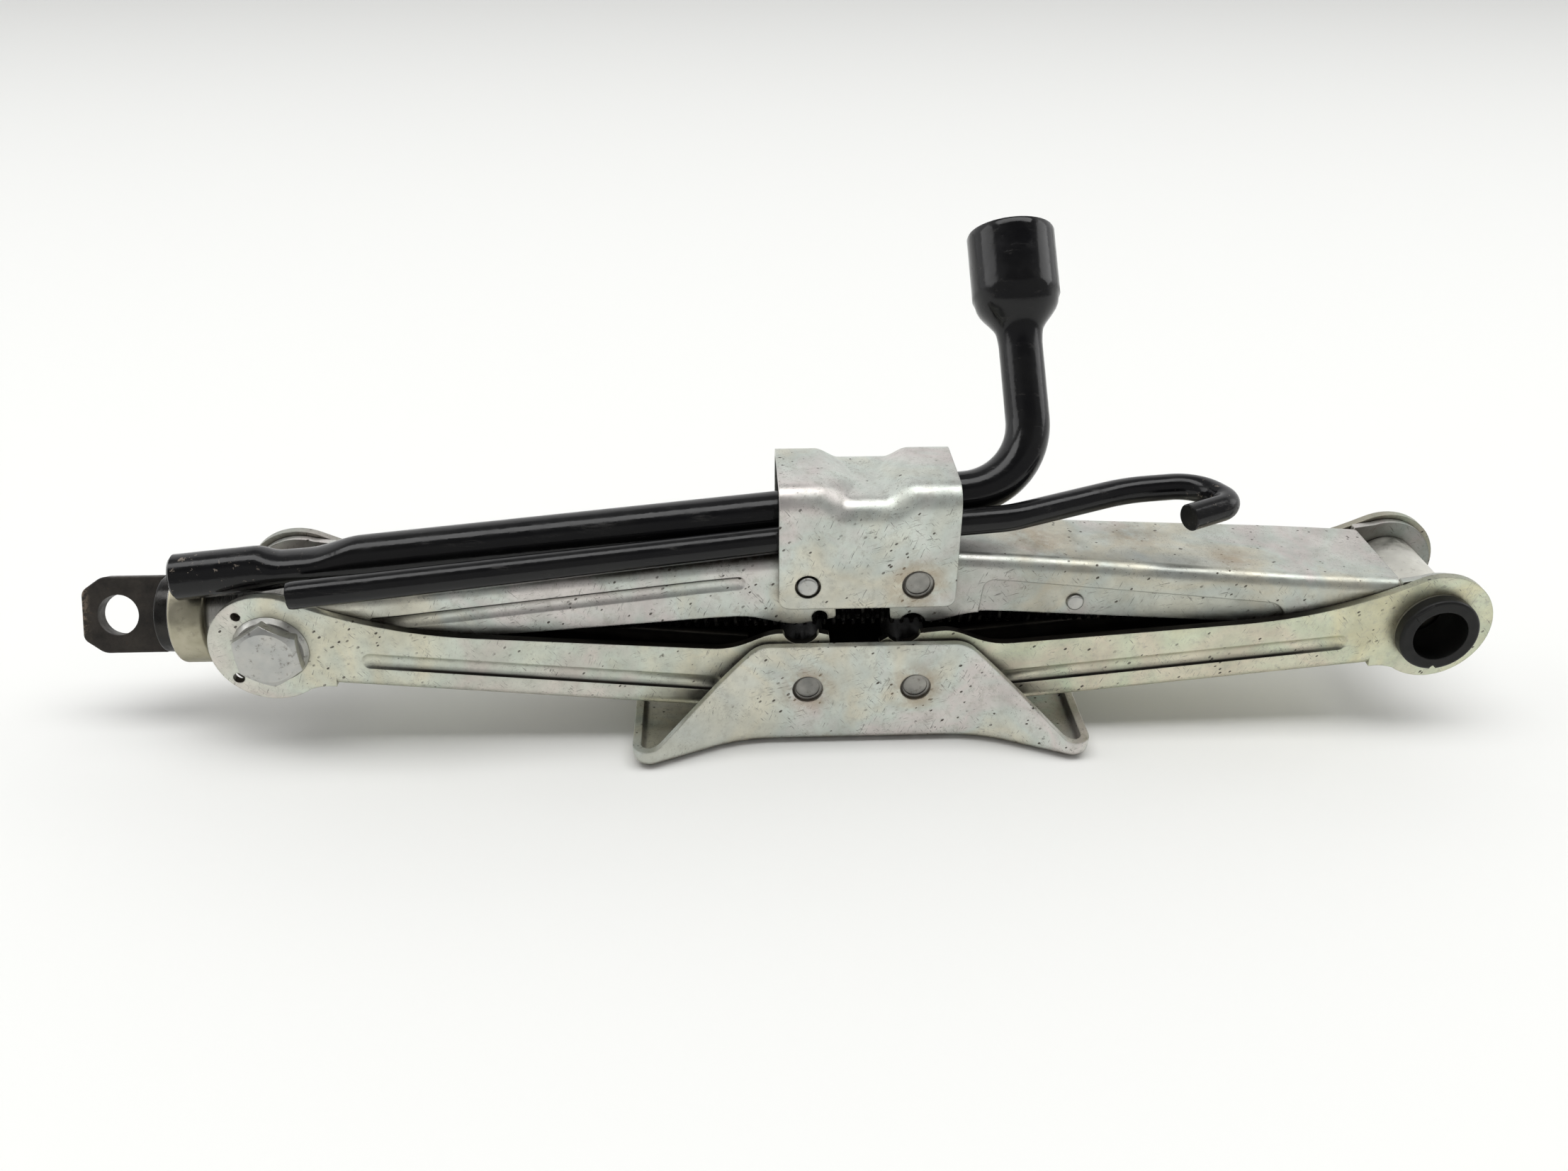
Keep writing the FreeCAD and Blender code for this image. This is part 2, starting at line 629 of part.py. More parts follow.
def trunnion_bolt(side):
    """Flanged hex bolt: its shank is the pivot of both ears, its tip sits in the block."""
    x = -TRUNNION_X
    seat = LOWER_HALF + RUNNING
    shank = rod_y(BOLT_SHANK_R, 9.0, seat + 0.5, x, TRUNNION_Z)
    flange = Part.makeCone(BOLT_FLANGE_R, BOLT_FLANGE_R - 1.2, BOLT_FLANGE_T, V(x, seat, TRUNNION_Z), Y_AXIS)
    radius = BOLT_HEX_AF / math.sqrt(3)
    corners = []
    for index in range(7):
        turn = math.radians(90.0 + BOLT_TURN + 60.0 * index)
        corners.append(V(x + radius * math.cos(turn), seat + 1.0, TRUNNION_Z + radius * math.sin(turn)))
    head = Part.Face(Part.makePolygon(corners)).extrude(V(0, BOLT_HEX_H + 0.5, 0))
    top = seat + 1.0 + BOLT_HEX_H + 0.5
    cone = Part.makeCone(BOLT_CHAMFER_R + 4.0 * 2, BOLT_CHAMFER_R, 4.0, V(x, top - 4.0, TRUNNION_Z), Y_AXIS)
    head = head.common(cone)
    bolt = shank.fuse(flange).fuse(head).removeSplitter()
    if side < 0:
        bolt = bolt.mirror(V(0, 0, 0), Y_AXIS)
    return bolt


def trunnion_block():
    """Cross block that carries the left ears' bolts and the screw's thrust bearing."""
    block = rod_y(BLOCK_R, -BLOCK_HALF, BLOCK_HALF, -TRUNNION_X, TRUNNION_Z)
    block = block.fuse(rod_x(BOSS_R, BEARING_X + BEARING_LENGTH, -TRUNNION_X))
    block = block.cut(rod_x(SCREW_R + RUNNING, -FAR, 0))
    for y0, y1 in ((-30.0, -9.0), (9.0, 30.0)):
        block = block.cut(rod_y(BOLT_SHANK_R, y0, y1, -TRUNNION_X, TRUNNION_Z))
    return block.removeSplitter()


def trunnion_nut():
    """Hollow-ended cross nut in the right ears; the screw runs through its middle."""
    x = TRUNNION_X
    seat = LOWER_HALF + RUNNING
    nut = rod_y(NUT_R, -BLOCK_HALF, BLOCK_HALF, x, TRUNNION_Z)
    nut = nut.fuse(rod_y(NUT_JOURNAL_R, -seat - NUT_RIM_T, seat + NUT_RIM_T, x, TRUNNION_Z))
    for y0 in (-seat - NUT_RIM_T, seat):
        nut = nut.fuse(rod_y(NUT_RIM_R, y0, y0 + NUT_RIM_T, x, TRUNNION_Z))
    for y0, y1 in ((-30.0, -NUT_BORE_FLOOR), (NUT_BORE_FLOOR, 30.0)):
        nut = nut.cut(rod_y(NUT_BORE_R, y0, y1, x, TRUNNION_Z))
    nut = nut.cut(rod_x(SCREW_R + NUT_THREAD_CLEARANCE, x - 30, x + 30))
    return nut.removeSplitter()


def storage_bush():
    """Plastic bush pressed into the cross nut's front bore."""
    x = TRUNNION_X
    face = LOWER_HALF + RUNNING + NUT_RIM_T
    bush = rod_y(NUT_BORE_R, -face, -NUT_BORE_FLOOR - 1.0, x, TRUNNION_Z)
    flange = rod_y(BUSH_FLANGE_R, -face - BUSH_FLANGE_T, -face, x, TRUNNION_Z)
    rim = [edge for edge in flange.Edges if edge.Length > 60 and edge.CenterOfMass.y < -face - 1]
    bush = bush.fuse(flange.makeFillet(1.0, rim))
    bush = bush.cut(rod_y(BUSH_HOLE_R, -60, 0, x, TRUNNION_Z))
    notch = rod_y(1.1, -face - BUSH_FLANGE_T, -face, x + 0.6, TRUNNION_Z - BUSH_FLANGE_R + 0.4)
    bush = bush.cut(notch)
    front = -face - BUSH_FLANGE_T
    start = BUSH_HOLE_R + 0.4
    latch = box(-LATCH_HALF, LATCH_HALF, front - LATCH_RISE, front + 1, start, start + LATCH_LENGTH)
    latch.rotate(V(0, 0, 0), Y_AXIS, LATCH_ANGLE)
    latch.translate(V(x, 0, TRUNNION_Z))
    return bush.fuse(latch).removeSplitter()


def lead_screw():
    """Plain shank in the block, then a trapezoidal thread cut as rings of the right pitch."""
    z = TRUNNION_Z
    outline = [V(COLLAR_X, 0, z), V(COLLAR_X, 0, z + SCREW_R), V(THREAD_START, 0, z + SCREW_R)]
    turns = int((THREAD_END - THREAD_START) / THREAD_PITCH)
    for turn in range(turns):
        x = THREAD_START + turn * THREAD_PITCH
        outline.append(V(x + 0.45, 0, z + THREAD_ROOT_R))
        outline.append(V(x + 1.55, 0, z + THREAD_ROOT_R))
        outline.append(V(x + 2.0, 0, z + SCREW_R))
        outline.append(V(x + THREAD_PITCH, 0, z + SCREW_R))
    outline.append(V(THREAD_END, 0, z + THREAD_ROOT_R))
    outline.append(V(SCREW_END, 0, z + THREAD_ROOT_R))
    outline.append(V(SCREW_END, 0, z))
    face = Part.Face(Part.makePolygon(outline + outline[:1]))
    return face.revolve(V(0, 0, z), X_AXIS, 360)


def screw_collar():
    ring = rod_x(COLLAR_R, COLLAR_X, BEARING_X)
    rims = [edge for edge in ring.Edges if edge.Length > 2 * COLLAR_R * 3]
    ring = ring.makeFillet(0.8, rims)
    return ring.cut(rod_x(SCREW_R, COLLAR_X - 5, BEARING_X + 5))


def screw_eye():
    """Flat plate with the crank hole, forged on the end of the screw."""
    half = EYE_WIDTH / 2
    cut_x, cut_z = EYE_CHAMFER
    points = [(EYE_TIP_X, -half + cut_z), (EYE_TIP_X + cut_x, -half), (COLLAR_X, -half),
              (COLLAR_X, half), (EYE_TIP_X + cut_x, half), (EYE_TIP_X, half - cut_z)]
    plate = side_polygon(points, (3, 5, 0, 0, 5, 3), EYE_T / 2)
    outline = []
    for edge in plate.Edges:
        bounds = edge.BoundBox
        if bounds.YLength < 0.01 and bounds.XMin < COLLAR_X - 0.5:
            outline.append(edge)
    plate = plate.makeFillet(EYE_EDGE_R, outline)
    plate = pierce(plate, EYE_HOLE_R, [(EYE_HOLE_X, 0)])
    plate.rotate(V(0, 0, 0), X_AXIS, EYE_TURN)
    plate.translate(V(0, 0, TRUNNION_Z))
    return plate


def race(x0):
    ring = rod_x(RACE_R, x0, x0 + RACE_T)
    ring = ring.cut(rod_x(RACE_BORE, x0, x0 + RACE_T))
    return ring


def bearing_balls():
    balls = []
    x = BEARING_X + BEARING_LENGTH / 2
    for index in range(BALL_COUNT):
        turn = math.radians(360.0 * index / BALL_COUNT)
        centre = V(x, BALL_CIRCLE_R * math.cos(turn), TRUNNION_Z + BALL_CIRCLE_R * math.sin(turn))
        balls.append(Part.makeSphere(BALL_R, centre))
    return Part.makeCompound(balls)


def bearing_cage():
    """Thin ring with a pocket round each ball."""
    x = BEARING_X + BEARING_LENGTH / 2
    cage = rod_x(BALL_CIRCLE_R + 2.4, x - 0.5, x + 0.5).cut(rod_x(BALL_CIRCLE_R - 2.6, x - 0.5, x + 0.5))
    for index in range(BALL_COUNT):
        turn = math.radians(360.0 * index / BALL_COUNT)
        y = BALL_CIRCLE_R * math.cos(turn)
        z = TRUNNION_Z + BALL_CIRCLE_R * math.sin(turn)
        cage = cage.cut(Part.makeCylinder(BALL_R + 0.06, 4, V(x - 2, y, z), X_AXIS))
    return cage


def bearing_cup():
    """Drawn sleeve round the bearing, turned in at the screw side."""
    x1 = BEARING_X + BEARING_LENGTH
    cup = rod_x(CUP_R, BEARING_X + 0.1, x1 + 1.5)
    edges = [edge for edge in cup.Edges if edge.Length > 6 * CUP_R]
    cup = cup.makeFillet(1.3, edges)
    cup = cup.cut(rod_x(RACE_R + 0.02, BEARING_X - 5, x1))
    return cup.cut(rod_x(BOSS_R, x1 - 1, x1 + 5))


def wrench_point(x):
    run = x - WRENCH_LEFT[0]
    return V(x, WRENCH_LEFT[1] + WRENCH_SLOPE[0] * run, WRENCH_LEFT[2] + WRENCH_SLOPE[1] * run)


def swept_bar(points, radii, radius):
    """Round bar along straight runs and tangent arcs."""
    edges = rounded_edges(points, radii, closed=False)
    wire = Part.Wire(Part.__sortEdges__(edges))
    first = edges[0]
    start = first.valueAt(first.FirstParameter)
    tangent = first.tangentAt(first.FirstParameter)
    profile = Part.Wire(Part.makeCircle(radius, start, tangent))
    return wire.makePipeShell([profile], True, True)


def turned(start, direction, outline):
    """Solid of revolution about a line: the outline is (distance along, radius) pairs."""
    points = [V(0, 0, 0)]
    for along, radius in outline:
        points.append(V(radius, 0, along))
    points.append(V(0, 0, outline[-1][0]))
    points[0] = V(0, 0, outline[0][0])
    solid = Part.Face(Part.makePolygon(points + points[:1])).revolve(V(0, 0, 0), Z_AXIS, 360)
    solid.Placement = FreeCAD.Placement(start, FreeCAD.Rotation(Z_AXIS, direction))
    return solid


def wheel_wrench():
    """One-piece bent tube: pinched neck and plain end on the left, swaged hex socket on the upright."""
    left = wrench_point(WRENCH_LEFT[0])
    corner = wrench_point(WRENCH_CORNER_X)
    upright = V(*WRENCH_UPRIGHT).normalize()
    taper = corner + upright * SOCKET_TAPER_START
    along = (corner - left).normalize()
    neck = [(wrench_point(x) - left).Length for x in NECK_X]
    end = turned(left, along, [(0, WRENCH_END_R - 1.2), (1.2, WRENCH_END_R), (neck[0], WRENCH_END_R),
                               (neck[1], NECK_R), (neck[2], NECK_R), (neck[3], WRENCH_R),
                               (neck[3] + 6, WRENCH_R)])
    start = wrench_point(NECK_X[3]) + along * 3
    path = [start, corner, taper + upright * 2]
    bar = swept_bar([tuple(point) for point in path], (0, WRENCH_BEND_R, 0), WRENCH_R)
    length = WRENCH_UPRIGHT_LENGTH
    head = turned(corner, upright, [(SOCKET_TAPER_START - 5, WRENCH_R), (SOCKET_TAPER_START, WRENCH_R + 0.4),
                                    (SOCKET_START - 1.5, SOCKET_R - 0.8), (SOCKET_START + 0.5, SOCKET_R),
                                    (length - 1.0, SOCKET_R), (length, SOCKET_R - 1.0)])
    wrench = end.fuse(bar).fuse(head)
    radius = SOCKET_HEX_AF / math.sqrt(3)
    corners = []
    for index in range(7):
        turn = math.radians(60.0 * index)
        corners.append(V(radius * math.cos(turn), radius * math.sin(turn), length - SOCKET_DEPTH))
    hexagon = Part.Face(Part.makePolygon(corners)).extrude(V(0, 0, SOCKET_DEPTH + 5))
    lead_in = Part.makeCone(radius - 1.0, radius + 1.5, 2.5, V(0, 0, length - 1.8), Z_AXIS)
    hexagon = hexagon.fuse(lead_in)
    hexagon.Placement = FreeCAD.Placement(corner, FreeCAD.Rotation(Z_AXIS, upright))
    return wrench.cut(hexagon).removeSplitter()


def crank_rod():
    """Round bar, slightly kinked where it passes the saddle, with a flat hook at the right."""
    points = [ROD_LEFT]
    for x, y in ROD_CORNERS:
        points.append((x, y, ROD_LEFT[2] + ROD_SLOPE_Z * (x - ROD_LEFT[0])))
    bar = swept_bar(points, (0,) + ROD_BEND_RADII + (0,), ROD_R)
    ends = []
    for edge in bar.Edges:
        if abs(edge.Length - 2 * math.pi * ROD_R) < 0.01 and edge.CenterOfMass.x < ROD_LEFT[0] + 1:
            ends.append(edge)
    return bar.makeFillet(0.7, ends[:1])


def arm_rivet():
    """Short button rivet in the right upper arm's front flange."""
    face = upper_half(ARM_RIVET_U) - PANEL_DEPTH
    shank = rod_y(ARM_RIVET_R / 2, -face - 0.2, -face + UPPER_SHEET, ARM_RIVET_U, ARM_RIVET_V)
    head = rod_y(ARM_RIVET_R, -face - ARM_RIVET_HEAD, -face + 0.3, ARM_RIVET_U, ARM_RIVET_V)
    rim = [edge for edge in head.Edges if edge.Length > 4 * ARM_RIVET_R and edge.CenterOfMass.y < -face - 0.5]
    head = head.makeFillet(ARM_RIVET_HEAD / 2, rim)
    return place_arm(shank.fuse(head), REST_ANGLE, SADDLE_PIVOT_Z, False)


def parts():
    nodes = {}
    nodes["foot"] = foot()
    for name, x in (("left", -PIVOT_HALF), ("right", PIVOT_HALF)):
        nodes["foot_rivet_" + name] = dished_rivet(FOOT_RIVET_R, x, FOOT_PIVOT_Z, FOOT_HALF - RIVET_SINK)
        nodes["foot_spacer_" + name] = spacer(SLEEVE_R, FOOT_RIVET_R, SPACER_HALF, x, FOOT_PIVOT_Z)
    left_lower = lower_arm(HIGH_PHASE, BOLT_SHANK_R)
    left_lower = place_arm(left_lower, -REST_ANGLE, FOOT_PIVOT_Z, True)
    nodes["lower_arm_left"] = left_lower.cut(ear_holes())
    right_lower = lower_arm(LOW_PHASE, NUT_JOURNAL_R)
    nodes["lower_arm_right"] = place_arm(right_lower, -REST_ANGLE, FOOT_PIVOT_Z, False)
    left_upper = upper_arm(LOW_PHASE, LEFT_TAIL, LEFT_GAP, BOLT_SHANK_R, SADDLE_PIN_R, upper_groove())
    nodes["upper_arm_left"] = place_arm(left_upper, REST_ANGLE, SADDLE_PIVOT_Z, True)
    right_upper = upper_arm(HIGH_PHASE, RIGHT_TAIL, RIGHT_GAP, NUT_JOURNAL_R, SADDLE_RIVET_R, upper_panel())
    right_upper = place_arm(right_upper, REST_ANGLE, SADDLE_PIVOT_Z, False)
    rivet = arm_rivet()
    nodes["upper_arm_right"] = right_upper.cut(rivet)
    nodes["arm_rivet"] = rivet
    nodes["saddle"] = saddle()
    pin_half = SADDLE_HALF + PIN_PROUD
    rivet_half = SADDLE_HALF - RIVET_SINK
    nodes["saddle_pin_left"] = domed_pin(SADDLE_PIN_R, -PIVOT_HALF, SADDLE_PIVOT_Z, pin_half)
    nodes["saddle_rivet_right"] = dished_rivet(SADDLE_RIVET_R, PIVOT_HALF, SADDLE_PIVOT_Z, rivet_half)
    nodes["trunnion_block"] = trunnion_block()
    nodes["trunnion_bolt_front"] = trunnion_bolt(-1)
    nodes["trunnion_bolt_rear"] = trunnion_bolt(1)
    nodes["trunnion_nut"] = trunnion_nut()
    nodes["storage_bush"] = storage_bush()
    nodes["lead_screw"] = lead_screw()
    nodes["screw_collar"] = screw_collar()
    nodes["screw_eye"] = screw_eye()
    nodes["thrust_race_turning"] = race(BEARING_X)
    nodes["thrust_race_fixed"] = race(BEARING_X + BEARING_LENGTH - RACE_T)
    nodes["bearing_balls"] = bearing_balls()
    nodes["bearing_cage"] = bearing_cage()
    nodes["bearing_cup"] = bearing_cup()
    nodes["wheel_wrench"] = wheel_wrench()
    nodes["crank_rod"] = crank_rod()
    return nodes


def main():
    os.makedirs("parts", exist_ok=True)
    for name, shape in parts().items():
        print(name, "valid", shape.isValid(), "solids", len(shape.Solids), "volume", round(shape.Volume, 1))
        shape.exportStep("parts/" + name + ".step")


main()
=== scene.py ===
import json
import math

import bpy
from mathutils import Matrix, Vector


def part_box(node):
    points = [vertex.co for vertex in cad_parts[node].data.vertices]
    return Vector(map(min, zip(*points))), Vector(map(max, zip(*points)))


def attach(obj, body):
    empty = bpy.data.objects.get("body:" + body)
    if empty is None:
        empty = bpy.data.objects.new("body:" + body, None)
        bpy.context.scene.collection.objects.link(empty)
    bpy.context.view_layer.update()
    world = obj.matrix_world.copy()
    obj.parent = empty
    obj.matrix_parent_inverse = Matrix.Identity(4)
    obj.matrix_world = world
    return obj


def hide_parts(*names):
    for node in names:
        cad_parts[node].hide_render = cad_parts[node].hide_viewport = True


MM = 0.001

# --- brown handling marks on the right upper arm's web: (point, inner, outer), mm ---
RUBBED_WEB = (
    ((52.0, -2.0, 50.0), 5.0, 18.0),
    ((84.0, 4.0, 50.0), 3.0, 14.0),
    ((112.0, -8.0, 50.0), 2.0, 11.0),
)

# --- camera: focal length as on a 36 mm wide sensor, angles in degrees, place in mm ---
LENS_MM = 30.63
SENSOR_MM = 36.0
PITCH = 30.189
YAW = 2.759
ROLL = -0.405
CAMERA_MM = (-39.27, -352.42, 246.71)

# --- softboxes: name, place in m, size in m, watts; all aim at the middle of the jack ---
LIGHTS = (
    ("softbox_top", (0.0, -0.10, 2.5), (3.8, 1.1), 49.0),
    ("softbox_left", (-2.4, 0.2, 1.2), (1.3, 1.3), 9.0),
    ("softbox_right", (2.4, 0.3, 1.2), (1.3, 1.3), 9.0),
)
LIGHT_TARGET = (0.0, 0.0, 0.04)

# --- world: brightness by direction, as (from, to, value there, value beyond) ---
BACK_WALL = (-0.25, 0.35, 0.34, 1.02)
BELOW_TOP = (0.62, 0.80, 1.0, 0.35)

FLOOR_SIZE = 12.0
FLOOR_COLOUR = (0.90, 0.903, 0.882, 1.0)
FLOOR_ROUGHNESS = 0.7

# --- pivots and pivot faces, mm ---
PIVOT_HALF = 16.15
SADDLE_PIVOT_Z = 51.07
FOOT_PIVOT_Z = 19.8
FOOT_FACE_Y = -24.7
# radius of the sunk rivet ends, and the offset that leaves a painted shadow crescent at their upper left
# edge
RIVET_RIM_R = 4.6
RIM_SHADOW_SHIFT = 0.6

# --- screw thread, mm; widths are shares of one pitch ---
THREAD_R = 7.0
THREAD_ROOT_R = 5.4
THREAD_PITCH = 3.0
THREAD_TURN_STEPS = 28
THREAD_STEP = 0.25
THREAD_START = -70.0
THREAD_ROOT_WIDTH = 0.34
THREAD_FLANK = 0.15
SCREW_LIP = 0.01
SCREW_CHAMFER = 0.6
SCREW_Z = 35.44

# --- saddle, a pressed sheet 52 mm long, mm ---
SADDLE_X = 1.4
SADDLE_LENGTH_HALF = 26.0
SADDLE_HALF = 17.8
SADDLE_TOP = 81.6
SADDLE_BOTTOM = 43.6
SADDLE_SHEET = 2.2
SADDLE_BEND_R = 7.0
SADDLE_CORNER_R = 3.0
SADDLE_STEP = 0.8
SADDLE_BEND_STEPS = 12
PIN_HOLE_R = 3.8
RIVET_HOLE_R = 4.75
HOLE_STEPS = 40
VALLEY_X = 1.1
VALLEY_FRONT = (7.6, 15.4, 4.4)
VALLEY_WAIST = (2.7, 12.5, 4.0)
VALLEY_REAR = (8.2, 14.4, 2.6)
VALLEY_WAIST_Y = -3.0
VALLEY_FADE = (8.0, 17.0)
VALLEY_EASE = (1.1, 0.2)

# --- wheel wrench: a bent tube with a pinched neck and a swaged socket, mm ---
WRENCH_R = 6.65
WRENCH_LEFT = (-199.0, -11.53, 54.27)
WRENCH_SLOPE = 0.068
WRENCH_CORNER_X = 52.9
WRENCH_BEND_R = 22.0
WRENCH_UPRIGHT = (-0.041, 0.624, 0.78)
WRENCH_LENGTH = 80.0
WRENCH_LEFT_PROFILE = ((-199.0, 6.75), (-173.0, 6.75), (-147.0, 6.65))
WRENCH_PINCH = ((-175.0, 0.0), (-168.0, 2.5), (-160.5, 2.7), (-145.0, 0.0))
WRENCH_SOCKET_PROFILE = ((44.0, 6.65), (47.0, 6.95), (57.0, 12.6), (59.0, 13.4), (79.0, 13.4))
SOCKET_RIM_R = 12.5
SOCKET_HEX_HALF = 8.5
SOCKET_DEPTH = 16.0
SOCKET_LIP = 0.5
SOCKET_LEAD_IN = 1.6
TUBE_BORE_EDGE = 1.6
TUBE_EDGE = 0.6
PINCH_BELOW = 0.15
PINCH_SIDES = 0.10
UPRIGHT_COSINE = 0.99

# --- crank rod, mm ---
ROD_R = 4.0
ROD_LEFT = (-162.5, -26.0, 55.9)
ROD_SLOPE_Z = 0.0535
ROD_CORNERS = ((-3.0, -8.8), (44.0, -6.6), (81.5, 6.5), (103.5, 7.2), (109.5, -7.0), (94.6, -13.4))
ROD_BEND_RADII = (150.0, 25.0, 45.0, 12.0, 4.6)
ROD_END = ((0.0, 0.8), (0.25, 0.25))
HOOK_EDGE = 0.3
TUBE_STEPS = 48
PATH_STEP = 1.5
ARC_STEP = math.radians(3.0)
SHARP_ANGLE = 38.0

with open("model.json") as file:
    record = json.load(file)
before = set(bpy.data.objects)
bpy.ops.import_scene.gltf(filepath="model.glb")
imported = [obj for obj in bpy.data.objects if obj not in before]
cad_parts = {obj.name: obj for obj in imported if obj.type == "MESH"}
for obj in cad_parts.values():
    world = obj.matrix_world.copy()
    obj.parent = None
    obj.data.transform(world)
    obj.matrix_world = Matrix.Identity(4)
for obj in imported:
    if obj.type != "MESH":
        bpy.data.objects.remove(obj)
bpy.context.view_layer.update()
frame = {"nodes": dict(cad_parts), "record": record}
nodes = frame["nodes"]


def add_camera():
    data = bpy.data.cameras.new("photo_camera")
    data.lens = LENS_MM
    data.sensor_width = SENSOR_MM
    data.sensor_fit = "HORIZONTAL"
    data.clip_start = 0.01
    data.clip_end = 50.0
    pitch, yaw, roll = (math.radians(angle) for angle in (PITCH, YAW, ROLL))
    forward = Vector((math.sin(yaw) * math.cos(pitch), math.cos(yaw) * math.cos(pitch), -math.sin(pitch)))
    right = Vector((math.cos(yaw), -math.sin(yaw), 0.0))
    down = forward.cross(right)
    level_right = math.cos(roll) * right + math.sin(roll) * down
    level_down = -math.sin(roll) * right + math.cos(roll) * down
    turn = Matrix((level_right, -level_down, -forward)).transposed().to_4x4()
    camera = bpy.data.objects.new("photo_camera", data)
    camera.matrix_world = Matrix.Translation(Vector(CAMERA_MM) * MM) @ turn
    bpy.context.scene.collection.objects.link(camera)
    bpy.context.scene.camera = camera


def area_light(name, place, target, size, power):
    data = bpy.data.lights.new(name, "AREA")
    data.shape = "RECTANGLE"
    data.size = size[0]
    data.size_y = size[1]
    data.energy = power
    light = bpy.data.objects.new(name, data)
    light.location = place
    aim = Vector(target) - Vector(place)
    light.rotation_euler = aim.to_track_quat("-Z", "Y").to_euler()
    bpy.context.scene.collection.objects.link(light)


def add_lights():
    for name, place, size, watts in LIGHTS:
        area_light(name, place, LIGHT_TARGET, size, watts)


def add_world():
    world = bpy.data.worlds.new("studio")
    world.use_nodes = True
    tree = world.node_tree
    background = tree.nodes["Background"]
    direction = tree.nodes.new("ShaderNodeTexCoord").outputs["Generated"]
    split = tree.nodes.new("ShaderNodeSeparateXYZ")
    tree.links.new(direction, split.inputs[0])
    product = tree.nodes.new("ShaderNodeMath")
    product.operation = "MULTIPLY"
    tree.links.new(world_band(tree, split.outputs["Y"], BACK_WALL), product.inputs[0])
    tree.links.new(world_band(tree, split.outputs["Z"], BELOW_TOP), product.inputs[1])
    tree.links.new(product.outputs[0], background.inputs["Color"])
    background.inputs["Strength"].default_value = 1.0
    bpy.context.scene.world = world
    bpy.context.scene.view_settings.view_transform = "Standard"


def world_band(tree, value, limits):
    low, high, out_low, out_high = limits
    ranged = tree.nodes.new("ShaderNodeMapRange")
    ranged.interpolation_type = "SMOOTHSTEP"
    ranged.inputs["From Min"].default_value = low
    ranged.inputs["From Max"].default_value = high
    ranged.inputs["To Min"].default_value = out_low
    ranged.inputs["To Max"].default_value = out_high
    tree.links.new(value, ranged.inputs["Value"])
    return ranged.outputs["Result"]


def add_floor():
    bpy.ops.mesh.primitive_plane_add(size=FLOOR_SIZE, location=(0.0, 0.0, 0.0))
    floor = bpy.context.object
    floor.name = "floor"
    material = bpy.data.materials.new("floor_paper")
    material.use_nodes = True
    shader = material.node_tree.nodes["Principled BSDF"]
    shader.inputs["Base Color"].default_value = FLOOR_COLOUR
    shader.inputs["Roughness"].default_value = FLOOR_ROUGHNESS
    floor.data.materials.append(material)


# ---------------------------------------------------------------- materials

